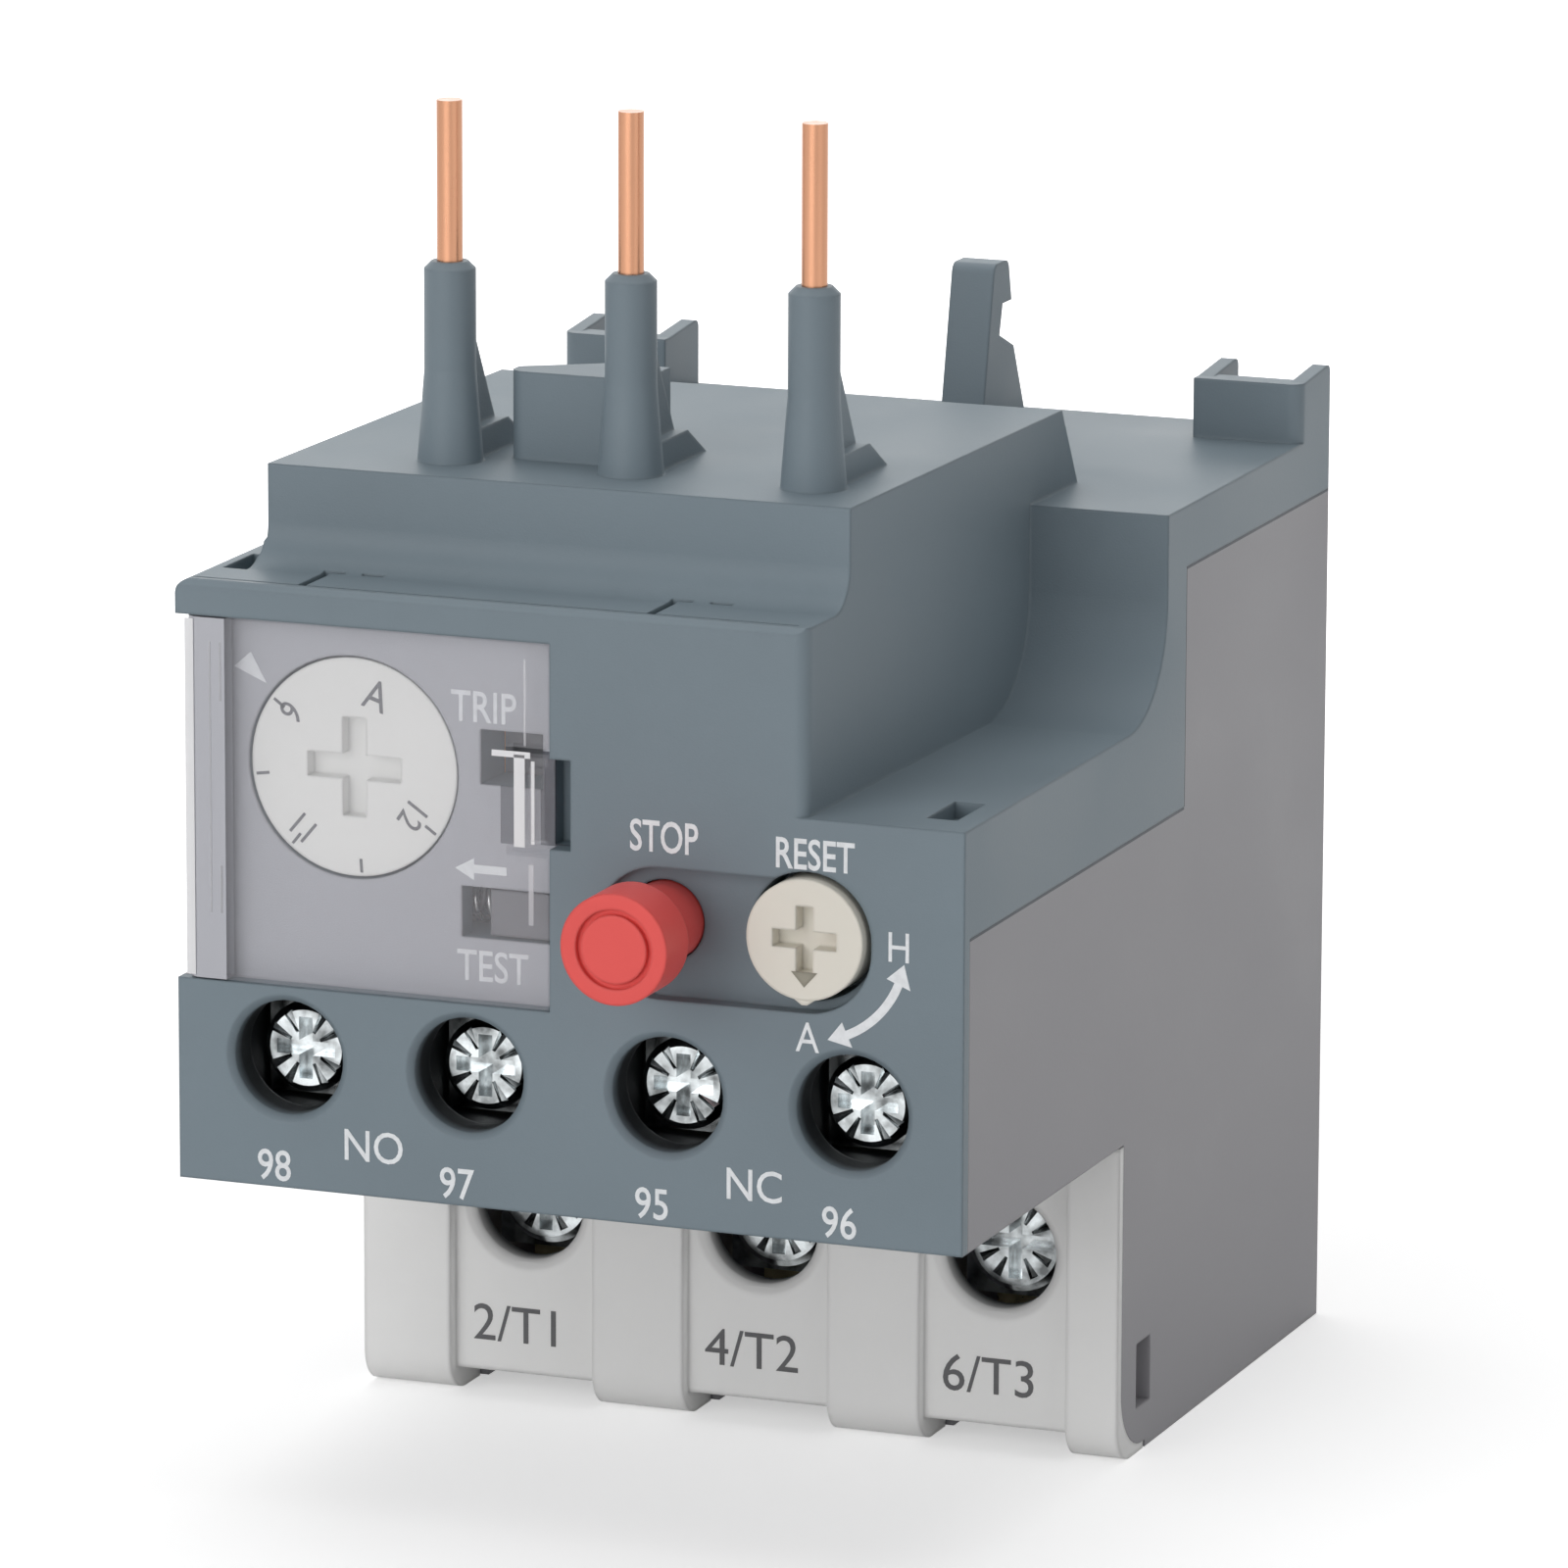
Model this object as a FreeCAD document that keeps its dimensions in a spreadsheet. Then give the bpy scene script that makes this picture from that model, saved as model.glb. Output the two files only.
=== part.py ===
import FreeCAD, Part
import os
import types

import Sketcher

# Thermal overload relay for plugging under a contactor, in millimetres.
# X runs across the three poles, Y from the operating face to the rear, Z up.
# Every sub-part is drawn with y = 0 on the operating face and z = 0 under the case, then moved
# back by half the overall depth, so that the origin is at the middle of the case's footprint.

SIZES = {
    # Case
    "width": 45.0,
    "body_depth": 59.5,
    "case_wall": 1.5,
    "nest_gap": 0.1,
    "slide_gap": 0.15,
    "guide_gap": 0.08,
    "fit_gap": 0.04,
    # Heights of the case, each above the one before
    "shroud_height": 18.15,
    "side_panel_height": 17.0,
    "ledge_rise": 5.85,
    "front_rise": 9.1,
    "flange_rise": 1.0,
    "deck_rise": 5.4,
    "shoulder_drop": 4.45,
    "cap_depth": 3.4,
    # Depths of the case
    "front_skin": 0.8,
    "shroud_front": 24.85,
    "seam_step": 34.9,
    "shoulder_front": 31.8,
    "deck_front": 5.9,
    "deck_rear": 36.6,
    "deck_rear_run": 2.6,
    "front_core": 8.0,
    # Plan of the raised block
    "block_right": 13.65,
    "left_strip": 2.7,
    "block_shift": 0.9,
    # Rounded stretches
    "ledge_radius": 6.2,
    "flange_bevel": 0.35,
    "flange_fillet": 2.2,
    "strip_fillet": 0.8,
    "toe_radius": 3.6,
    "edge_round": 0.8,
    "soft_round": 0.4,
    # Slots of the case
    "slot_depth": 0.9,
    "strip_slot_inset": 1.2,
    "strip_slot_width": 1.4,
    "strip_slot_front": 3.6,
    "strip_slot_length": 4.0,
    "ledge_slot_inset": 3.1,
    "ledge_slot_width": 1.7,
    "ledge_slot_front": 2.6,
    "ledge_slot_length": 4.2,
    "side_slot_front": 27.9,
    "side_slot_width": 2.3,
    "side_slot_bottom": 2.55,
    "side_slot_height": 3.7,
    "catch_left": 15.7,
    "catch_right": 4.3,
    "catch_front": 0.9,
    "catch_length": 3.5,
    "catch_slit": 0.45,
    "catch_tongue": 1.0,
    "lip_groove": 0.15,
    # Contact pins and their sleeves
    "pin_pitch": 10.45,
    "pin_middle": -0.53,
    "pin_depth": 10.54,
    "pin_radius": 0.7,
    "pin_neck": 0.5,
    "pin_exposed": 8.7,
    "sleeve_height": 10.85,
    "sleeve_radius": 1.4,
    "sleeve_foot": 1.85,
    "sleeve_skirt": 5.0,
    "sleeve_chamfer": 0.4,
    "web_height": 8.0,
    "web_reach": 7.6,
    "web_knee": 4.95,
    "web_thickness": 1.0,
    "web_foot_height": 1.6,
    "web_foot_width": 2.6,
    "pin_run_drop": 7.3,
    "pin_bend": 1.5,
    # Box between two sleeves
    "riser_left": 8.2,
    "riser_front": 12.0,
    "riser_rear": 16.2,
    "riser_height": 4.8,
    # Rear hooks and the latch post
    "hook_width": 6.4,
    "hook_depth": 5.2,
    "hook_height": 3.4,
    "hook_wall": 1.6,
    "hook_prong": 0.9,
    "hook_rise": 0.4,
    "latch_left": 3.1,
    "latch_width": 2.55,
    "latch_setback": 11.7,
    "latch_foot_depth": 7.25,
    "latch_height": 9.85,
    "latch_lean": 2.2,
    "latch_head": 2.8,
    "latch_knee_rise": 4.75,
    "latch_notch_rise": 5.7,
    "latch_notch_depth": 0.85,
    "latch_throat_depth": 1.35,
    "latch_barb_height": 2.4,
    "latch_crown_depth": 2.25,
    "latch_round": 0.6,
    # Recess of the clear cover
    "cover_inset": 0.5,
    "cover_right": 1.0,
    "cover_bottom_rise": 11.2,
    "cover_height": 19.75,
    "cover_thickness": 1.0,
    "cover_wrap": 4.6,
    "cover_knuckle": 0.8,
    "cover_trunnion": 0.5,
    "trunnion_length": 0.6,
    "cover_tab_height": 4.9,
    "cover_tab_rise": 8.75,
    "cover_tab_width": 2.4,
    "cover_tab_slot": 0.5,
    "cover_tab_lip": 0.45,
    "finger_recess": 1.3,
    "finger_depth": 2.4,
    # Current dial
    "dial_from_left": 9.25,
    "dial_rise": 11.95,
    "dial_radius": 5.95,
    "dial_thickness": 2.3,
    "dial_setback": 0.3,
    "dial_slot": 1.35,
    "dial_slot_length": 5.4,
    "dial_slot_depth": 0.8,
    "dial_shaft": 2.0,
    "cam_radius": 3.2,
    "cam_offset": 0.8,
    "cam_thickness": 2.2,
    # Windows of the operating face
    "trip_left": 5.4,
    "trip_width": 3.6,
    "trip_rise": 11.65,
    "trip_height": 3.0,
    "flag_thickness": 0.8,
    "flag_width": 5.4,
    "flag_travel": 1.6,
    "test_left": 6.5,
    "test_width": 5.5,
    "test_rise": 3.25,
    "test_height": 2.8,
    "test_travel": 1.4,
    "test_thickness": 1.5,
    # Stop and reset buttons
    "button_rise": 16.45,
    "button_recess_radius": 3.57,
    "button_recess_drop": 0.5,
    "button_recess_depth": 1.0,
    "stop_across": 5.3,
    "button_out": 6.3,
    "stop_cap_radius": 3.0,
    "stop_cap_thickness": 3.1,
    "stop_stalk_radius": 2.15,
    "stop_ring_radius": 1.85,
    "stop_ring_width": 0.3,
    "stop_travel": 3.0,
    "reset_across": 13.74,
    "reset_radius": 3.27,
    "reset_out": 0.5,
    "reset_thickness": 2.5,
    "reset_stem_radius": 1.3,
    "reset_sleeve_radius": 2.4,
    "reset_travel": 2.0,
    "reset_cross": 3.6,
    "reset_cross_width": 0.95,
    "bore_wall": 1.0,
    "collar_radius": 3.0,
    "collar_thickness": 0.9,
    "tail_radius": 1.2,
    "reset_tail": 2.8,
    "spring_wire": 0.35,
    "spring_mean": 2.2,
    "spring_turns": 5.0,
    # Auxiliary terminals
    "aux_inner": 5.7,
    "aux_inset": 6.32,
    "aux_rise": 7.15,
    "aux_hole_radius": 3.15,
    "aux_hole_rim": 0.35,
    "aux_hole_wall": 2.4,
    "aux_head_radius": 2.5,
    "aux_head_height": 2.1,
    "aux_head_gap": 0.2,
    "aux_shank_radius": 1.5,
    "aux_shank_length": 5.5,
    "aux_clamp_width": 6.0,
    "aux_clamp_thickness": 1.0,
    "aux_wire_gap": 1.9,
    "aux_strip_thickness": 0.9,
    "aux_strip_height": 6.2,
    "screw_slot": 0.8,
    "screw_slot_depth": 1.0,
    "nc_contact_depth": 18.6,
    "no_inner_depth": 17.35,
    "no_outer_depth": 16.45,
    "rivet_radius": 1.1,
    "rivet_height": 0.8,
    "contact_rise": 5.4,
    # Main terminals
    "main_side": 7.35,
    "main_middle": 1.1,
    "main_height": 11.25,
    "main_hole_radius": 3.25,
    "main_hole_rim": 0.5,
    "panel_width": 8.6,
    "panel_recess": 0.8,
    "panel_bottom": 1.45,
    "shroud_skin": 0.6,
    "shroud_core": 2.0,
    "shroud_lip": 4.4,
    "shroud_lip_height": 1.6,
    "bay_width": 8.8,
    "bay_clearance": 0.7,
    "main_head_radius": 2.95,
    "main_head_height": 2.6,
    "main_head_setback": 1.1,
    "main_shank_radius": 1.9,
    "main_shank_length": 7.8,
    "main_clamp_width": 7.6,
    "main_clamp_thickness": 1.5,
    "main_wire_gap": 3.2,
    "main_bar_width": 3.4,
    "main_bar_thickness": 2.0,
    "entry_width": 7.8,
    "screw_travel": 1.4,
    # Bimetals, heaters and trip bar
    "bimetal_front": 41.6,
    "bimetal_width": 4.8,
    "bimetal_thickness": 0.8,
    "bimetal_bottom": 2.2,
    "heater_gap": 0.5,
    "heater_ribbon": 0.6,
    "heater_turn": 1.1,
    "heater_pitch": 2.3,
    "bar_rise": 1.6,
    "bar_height": 2.4,
    "bar_margin": 1.2,
    "bar_travel": 1.8,
    "bar_nose": 2.4,
    "rail_width": 1.0,
    # Mechanism plate, trip lever, contact rocker and adjusting lever
    "plate_clearance": 0.4,
    "plate_thickness": 1.4,
    "plate_top_drop": 9.3,
    "plate_ear": 2.6,
    "lever_inset": 4.9,
    "lever_offset": 7.0,
    "lever_rise": 1.6,
    "lever_hub": 2.0,
    "lever_pin": 0.8,
    "lever_hub_height": 6.0,
    "lever_thickness": 0.9,
    "lever_height": 3.6,
    "lever_front_x": 4.6,
    "lever_front_y": 4.6,
    "rocker_post": 2.0,
    "rocker_hub": 2.2,
    "arm_margin": 0.86,
    "rocker_arm_width": 1.6,
    "rocker_finger": 12.0,
    "bridge_reach": 2.1,
    "bridge_thickness": 0.7,
    "adjust_across": 6.5,
    "adjust_rise": 6.2,
    "adjust_hub": 1.8,
    "adjust_pin": 0.8,
    "adjust_reach": 11.0,
    "adjust_gap": 0.25,
}


class Term:
    """A length together with the spreadsheet expression that gives it."""

    def __init__(self, value, text):
        self.value = value
        self.text = text

    def __add__(self, other):
        other = term(other)
        return Term(self.value + other.value, f"({self.text} + {other.text})")

    def __sub__(self, other):
        other = term(other)
        return Term(self.value - other.value, f"({self.text} - {other.text})")

    def __mul__(self, other):
        other = term(other)
        return Term(self.value * other.value, f"({self.text} * {other.text})")

    def __truediv__(self, other):
        other = term(other)
        return Term(self.value / other.value, f"({self.text} / {other.text})")

    def __neg__(self):
        return Term(-self.value, f"(0 - {self.text})")


def term(value):
    """The value as a Term, where a plain number stands for itself."""
    return value if isinstance(value, Term) else Term(float(value), f"{value}")


ZERO = Term(0.0, "0")
size = types.SimpleNamespace(**{name: Term(value, f"Sizes.{name}") for name, value in SIZES.items()})

# Places that several sub-parts share
half = size.width / 2
inner_half = half - size.case_wall
core_half = inner_half - size.nest_gap
block_left = half - size.left_strip
aux_bottom = size.shroud_height
floor_top = aux_bottom + size.case_wall
seam_low = aux_bottom + size.side_panel_height
ledge_top = seam_low + size.ledge_rise
front_top = ledge_top + size.front_rise
flange_top = front_top + size.flange_rise
deck_top = flange_top + size.deck_rise
shoulder_top = deck_top - size.shoulder_drop
seam_high = shoulder_top - size.cap_depth
rear_inside = size.body_depth - size.case_wall
core_rear = size.front_core

cover_left = half - size.cover_inset
cover_bottom = aux_bottom + size.cover_bottom_rise
cover_top = cover_bottom + size.cover_height
cover_floor = size.cover_thickness + size.dial_setback
hinge_x = -(cover_left - size.cover_knuckle)
hinge_y = size.cover_wrap
dial_x = size.dial_from_left - cover_left
dial_z = cover_bottom + size.dial_rise
dial_front = cover_floor + size.slide_gap
dial_seat = dial_front + size.dial_thickness
cam_front = core_rear + size.slide_gap * 2
cam_rear = cam_front + size.cam_thickness

button_z = aux_bottom + size.button_rise
stop_wall = size.button_recess_depth + size.bore_wall * 2
reset_seat = size.reset_thickness - size.reset_out + size.reset_travel + size.slide_gap * 2
collar_bore = size.collar_radius + size.slide_gap

aux_outer = half - size.aux_inset
aux_z = aux_bottom + size.aux_rise
aux_head_front = size.aux_hole_wall + size.aux_head_gap
aux_clamp_front = aux_head_front + size.aux_head_height
aux_strip_front = aux_clamp_front + size.aux_clamp_thickness + size.aux_wire_gap
aux_strip_rear = aux_strip_front + size.aux_strip_thickness
aux_pocket_half = size.aux_strip_height / 2 + size.slide_gap
strip_floor = floor_top + size.nest_gap
strip_leg_top = strip_floor + size.aux_strip_thickness
contact_z = floor_top + size.contact_rise

core_front = size.shroud_front + size.shroud_skin
bay_front = core_front + size.shroud_core
main_head_front = bay_front + size.main_head_setback
main_clamp_front = main_head_front + size.main_head_height
main_bar_front = main_clamp_front + size.main_clamp_thickness + size.main_wire_gap
main_bar_rear = main_bar_front + size.main_bar_thickness
bay_rear = main_clamp_front + size.main_shank_length + size.screw_travel + size.bay_clearance
bay_top = aux_bottom - size.case_wall
main_bar_top = floor_top + size.bar_rise + size.bar_height + size.heater_turn * 3

run_z = deck_top - size.pin_run_drop
bimetal_rear = size.bimetal_front + size.bimetal_width
bimetal_bottom = floor_top + size.bimetal_bottom
bar_bottom = floor_top + size.bar_rise
bar_top = bar_bottom + size.bar_height
bar_front = size.bimetal_front - size.slide_gap * 2 - size.bar_margin
bar_rear = bimetal_rear + size.slide_gap * 2 + size.bar_margin
lever_x = half - size.lever_inset
bar_reach = lever_x - size.lever_thickness / 2 - size.slide_gap
bar_shoulder = bar_reach - size.bar_nose

plate_front = aux_clamp_front + size.aux_shank_length + size.screw_travel + size.plate_clearance
plate_rear = plate_front + size.plate_thickness
plate_top = deck_top - size.plate_top_drop
lever_bottom = floor_top + size.lever_rise
adjust_z = cover_top - size.cover_height + size.dial_rise + size.adjust_rise

pin_places = [size.pin_middle + size.pin_pitch * step for step in (-1, 0, 1)]
main_pitch = half - size.main_side - size.main_middle
main_places = [size.main_middle + main_pitch * step for step in (-1, 0, 1)]
aux_places = {
    "98": -aux_outer,
    "97": -size.aux_inner,
    "95": size.aux_inner,
    "96": aux_outer,
}

doc = FreeCAD.newDocument("thermal_overload_relay")
PLANES = {"X": "YZ_Plane", "Y": "XZ_Plane", "Z": "XY_Plane"}
TURNS = {
    "X": FreeCAD.Rotation(FreeCAD.Vector(0, 1, 0), 90),
    "Y": FreeCAD.Rotation(FreeCAD.Vector(1, 0, 0), -90),
    "Z": FreeCAD.Rotation(),
}
pieces = []


def fill_sheet():
    sheet = doc.addObject("Spreadsheet::Sheet", "Sizes")
    for row, (name, value) in enumerate(SIZES.items(), start=1):
        sheet.set(f"A{row}", name)
        sheet.set(f"B{row}", str(value))
        sheet.setAlias(f"B{row}", name)
    doc.recompute()


class Piece:
    """A sub-part in the making: solids that are added and cut in turn, in groups."""

    def __init__(self, name):
        self.name = name
        self.groups = []
        self.result = None
        pieces.append(self)

    def take(self, kind, solid):
        """Add or Cut one solid; neighbours of the same kind share one boolean."""
        if not self.groups or self.groups[-1][0] != kind:
            self.groups.append((kind, []))
        self.groups[-1][1].append(solid)

    def finish(self):
        """Join the groups, name the result and centre the overall depth on the origin."""
        result = None
        for step, (kind, solids) in enumerate(self.groups):
            tool = fuse(f"{self.name}_{kind}{step}", solids)
            if result is None:
                result = tool
            elif kind == "Add":
                result = fuse(f"{self.name}_joined{step}", [result, tool])
            else:
                cut = doc.addObject("Part::Cut", f"{self.name}_cut{step}")
                cut.Base = result
                cut.Tool = tool
                cut.Refine = True
                result = cut
        if result.TypeId in ("Part::Box", "Part::Cylinder"):
            result = fuse(self.name, [result])
        result.Label = self.name
        shift = (size.button_out - size.body_depth) / 2
        result.setExpression("Placement.Base.y", shift.text)
        self.result = result


def fuse(name, solids):
    """The solids as one object."""
    if len(solids) == 1 and solids[0].TypeId not in ("Part::Box", "Part::Cylinder"):
        return solids[0]
    kind = "Part::MultiFuse" if len(solids) > 1 else "Part::Compound"
    joined = doc.addObject(kind, name)
    if len(solids) > 1:
        joined.Shapes = solids
        joined.Refine = True
    else:
        joined.Links = solids
    return joined


def attach(feature, body, axis, offset):
    """Lay a sketch on the body's origin plane across axis, moved by offset."""
    plane = next(item for item in body.Origin.OriginFeatures if item.Role == PLANES[axis])
    feature.AttachmentSupport = [(plane, "")]
    feature.MapMode = "FlatFace"
    for direction, length in zip("xyz", offset):
        feature.setExpression(f"AttachmentOffset.Base.{direction}", length.text)


def pin_point(sketch, geometry, end, u, v):
    """Hold one point of a sketch at u, v from the sketch's origin."""
    for kind, length, axis_line in (("DistanceX", u, -2), ("DistanceY", v, -1)):
        if length is ZERO:
            sketch.addConstraint(Sketcher.Constraint("PointOnObject", geometry, end, axis_line))
        else:
            limit = Sketcher.Constraint(kind, -1, 1, geometry, end, length.value)
            index = sketch.addConstraint(limit)
            sketch.setExpression(f"Constraints[{index}]", length.text)


def draw_polygon(sketch, corners):
    """A closed outline through corners, each held from the sketch's origin."""
    first = sketch.GeometryCount
    count = len(corners)
    places = [FreeCAD.Vector(u.value, v.value, 0) for u, v in corners]
    for index in range(count):
        sketch.addGeometry(Part.LineSegment(places[index], places[(index + 1) % count]), False)
    for index in range(count):
        before = first + (index - 1) % count
        sketch.addConstraint(Sketcher.Constraint("Coincident", before, 2, first + index, 1))
    for index, (u, v) in enumerate(corners):
        pin_point(sketch, first + index, 1, u, v)


def prism(piece, kind, name, axis, start, end, corners, rounds=(), inside=None):
    """A padded outline from start to end along axis, with rounds (radius, u, v) on its long edges."""
    body = doc.addObject("PartDesign::Body", f"{piece.name}_{name}")
    sketch = body.newObject("Sketcher::SketchObject", "Outline")
    attach(sketch, body, axis, (ZERO, ZERO, -end if axis == "Y" else start))
    draw_polygon(sketch, corners)
    if inside:
        draw_polygon(sketch, inside)
    pad = body.newObject("PartDesign::Pad", "Pad")
    pad.Profile = sketch
    pad.setExpression("Length", (end - start).text)
    for number, (radius, u, v) in enumerate(rounds, start=1):
        edges = long_edges(body, axis, u, v)
        fillet = body.newObject("PartDesign::Fillet", f"Round{number}")
        fillet.Base = (body.Group[-2], edges)
        fillet.setExpression("Radius", radius.text)
    piece.take(kind, body)


def long_edges(body, axis, u, v):
    """Names of the body's straight edges that run along axis at u, v."""
    doc.recompute()
    direction, first, second = {
        "X": (FreeCAD.Vector(1, 0, 0), "y", "z"),
        "Y": (FreeCAD.Vector(0, 1, 0), "x", "z"),
        "Z": (FreeCAD.Vector(0, 0, 1), "x", "y"),
    }[axis]
    names = []
    for number, edge in enumerate(body.Shape.Edges, start=1):
        if edge.Curve.TypeId != "Part::GeomLine" or abs(abs(edge.Curve.Direction * direction) - 1) > 1e-6:
            continue
        middle = edge.CenterOfMass
        if abs(getattr(middle, first) - u.value) + abs(getattr(middle, second) - v.value) < 0.01:
            names.append(f"Edge{number}")
    return names


def block(piece, kind, name, x, y, z):
    """A box between two places along each axis."""
    box = doc.addObject("Part::Box", f"{piece.name}_{name}")
    for side, way, (low, high) in zip(("Length", "Width", "Height"), "xyz", (x, y, z)):
        box.setExpression(side, (high - low).text)
        box.setExpression(f"Placement.Base.{way}", low.text)
    piece.take(kind, box)


def rod(piece, kind, name, axis, centre, radius, start, end, end_radius=None):
    """A cylinder along axis from start to end, or a cone where end_radius is given."""
    shape = doc.addObject("Part::Cone" if end_radius else "Part::Cylinder", f"{piece.name}_{name}")
    shape.Placement = FreeCAD.Placement(FreeCAD.Vector(), TURNS[axis])
    base = list(centre)
    base.insert("XYZ".index(axis), start)
    for way, length in zip("xyz", base):
        shape.setExpression(f"Placement.Base.{way}", length.text)
    shape.setExpression("Height", (end - start).text)
    if end_radius:
        shape.setExpression("Radius1", radius.text)
        shape.setExpression("Radius2", end_radius.text)
    else:
        shape.setExpression("Radius", radius.text)
    piece.take(kind, shape)


def on_side(side, inner, outer):
    """The stretch from inner to outer on the right, or its mirror image on the left."""
    return (inner, outer) if side == "Right" else (-outer, -inner)


def make_front_housing():
    """Front plate, deck, pin sleeves, shoulder and hooks, moulded as one cap over the base."""
    piece = Piece("front_housing")
    side_profile = [
        (ZERO, aux_bottom),
        (size.front_skin, aux_bottom),
        (size.front_skin, seam_low),
        (size.seam_step, seam_low),
        (size.seam_step, seam_high),
        (size.body_depth, seam_high),
        (size.body_depth, shoulder_top),
        (size.shoulder_front, shoulder_top),
        (size.shoulder_front, ledge_top),
        (ZERO, ledge_top),
    ]
    sweep = (size.ledge_radius, size.shoulder_front, ledge_top)
    prism(piece, "Add", "Cap", "X", -half, half, side_profile, [sweep])
    block_plan = [
        (-block_left, ZERO),
        (size.block_right, ZERO),
        (size.block_right + size.block_shift, size.deck_rear),
        (size.block_shift - block_left, size.deck_rear),
    ]
    corner = (size.edge_round, size.block_right, ZERO)
    prism(piece, "Add", "RaisedBlock", "Z", seam_low, deck_top, block_plan, [corner])
    rear_ramp = [
        (size.deck_rear, shoulder_top),
        (size.deck_rear + size.deck_rear_run, shoulder_top),
        (size.deck_rear, deck_top),
    ]
    ramp_left = size.block_shift - block_left
    ramp_right = size.block_right + size.block_shift
    prism(piece, "Add", "DeckRamp", "X", ramp_left, ramp_right, rear_ramp)
    strip = [
        (-half, seam_low),
        (ramp_left, seam_low),
        (ramp_left, flange_top + size.strip_fillet * 3),
        (-block_left, flange_top + size.strip_fillet + size.soft_round),
        (-block_left, flange_top),
        (-half, flange_top),
    ]
    foot = (size.strip_fillet, -block_left, flange_top)
    brim = (size.edge_round, -half, flange_top)
    prism(piece, "Add", "LeftStrip", "Y", ZERO, size.shoulder_front + size.case_wall, strip, [foot, brim])
    flange = [
        (ZERO, ledge_top),
        (size.deck_front, ledge_top),
        (size.deck_front, flange_top),
        (ZERO, flange_top),
    ]
    prism(piece, "Add", "Flange", "X", size.edge_round - half, size.block_right - size.edge_round, flange)
    above_flange = [
        (-size.flange_bevel, flange_top - size.flange_bevel * 2),
        (size.flange_bevel, flange_top),
        (size.deck_front, flange_top),
        (size.deck_front, deck_top + size.case_wall),
        (-size.flange_bevel, deck_top + size.case_wall),
    ]
    hollow = (size.flange_fillet, size.deck_front, flange_top)
    prism(piece, "Cut", "StepBack", "X", -half - 1, half + 1, above_flange, [hollow])
    add_front_core(piece)
    cut_case_slots(piece)
    hollow_front_housing(piece)
    cut_operating_face(piece)
    cut_aux_terminals(piece)
    add_sleeves(piece)
    add_hooks(piece)
    return piece


def add_front_core(piece):
    """The thick inner part of the front moulding, which nests between the base's side walls."""
    core = (floor_top, seam_low)
    block(piece, "Add", "Core", (-core_half, core_half), (ZERO, core_rear), core)


def cut_case_slots(piece):
    """Slots in the left strip and the right ledge, and the slits that free two catches."""
    strip_left = size.strip_slot_inset - half
    strip_x = (strip_left, strip_left + size.strip_slot_width)
    strip_y = (size.strip_slot_front, size.strip_slot_front + size.strip_slot_length)
    block(piece, "Cut", "StripSlot", strip_x, strip_y, (flange_top - size.slot_depth, deck_top))
    ledge_left = half - size.ledge_slot_inset
    ledge_y = (size.ledge_slot_front, size.ledge_slot_front + size.ledge_slot_length)
    block(piece, "Cut", "LedgeSlot", (ledge_left, ledge_left + size.ledge_slot_width), ledge_y,
          (ledge_top - size.slot_depth, front_top))
    slit_z = (flange_top - size.slot_depth / 2, deck_top)
    catch_rear = size.catch_front + size.catch_length
    back_y = (catch_rear - size.catch_slit / 2, catch_rear)
    for name, left in (("Left", -size.catch_left), ("Right", size.catch_right)):
        middle = left + size.catch_length / 2
        block(piece, "Cut", f"{name}CatchSide", (left, left + size.catch_slit),
              (size.catch_front, catch_rear), slit_z)
        block(piece, "Cut", f"{name}CatchBack1", (left, middle - size.catch_tongue / 2), back_y, slit_z)
        block(piece, "Cut", f"{name}CatchBack2", (middle + size.catch_tongue / 2, left + size.catch_length),
              back_y, slit_z)
    groove_y = (size.catch_front - size.lip_groove, size.catch_front)
    block(piece, "Cut", "LipGroove", (-half - 1, size.block_right - size.edge_round), groove_y,
          (flange_top - size.lip_groove, flange_top + 1))


def hollow_front_housing(piece):
    """The chamber under the deck, the ledge and the shoulder."""
    roof = deck_top - size.case_wall
    left = size.block_shift + size.case_wall - block_left
    deck_room = (left, size.block_right - size.case_wall)
    deck_room_y = (core_rear, size.deck_rear - size.case_wall)
    block(piece, "Cut", "DeckRoom", deck_room, deck_room_y, (seam_low - 1, roof))
    side_room = (-inner_half, inner_half)
    low_roof = ledge_top - size.case_wall
    block(piece, "Cut", "LedgeRoom", side_room, (core_rear, size.seam_step), (seam_low - 1, low_roof))
    rear_room = (size.shoulder_front + size.case_wall, rear_inside)
    block(piece, "Cut", "RearRoom", side_room, rear_room, (seam_low - 1, shoulder_top - size.case_wall))


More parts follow.
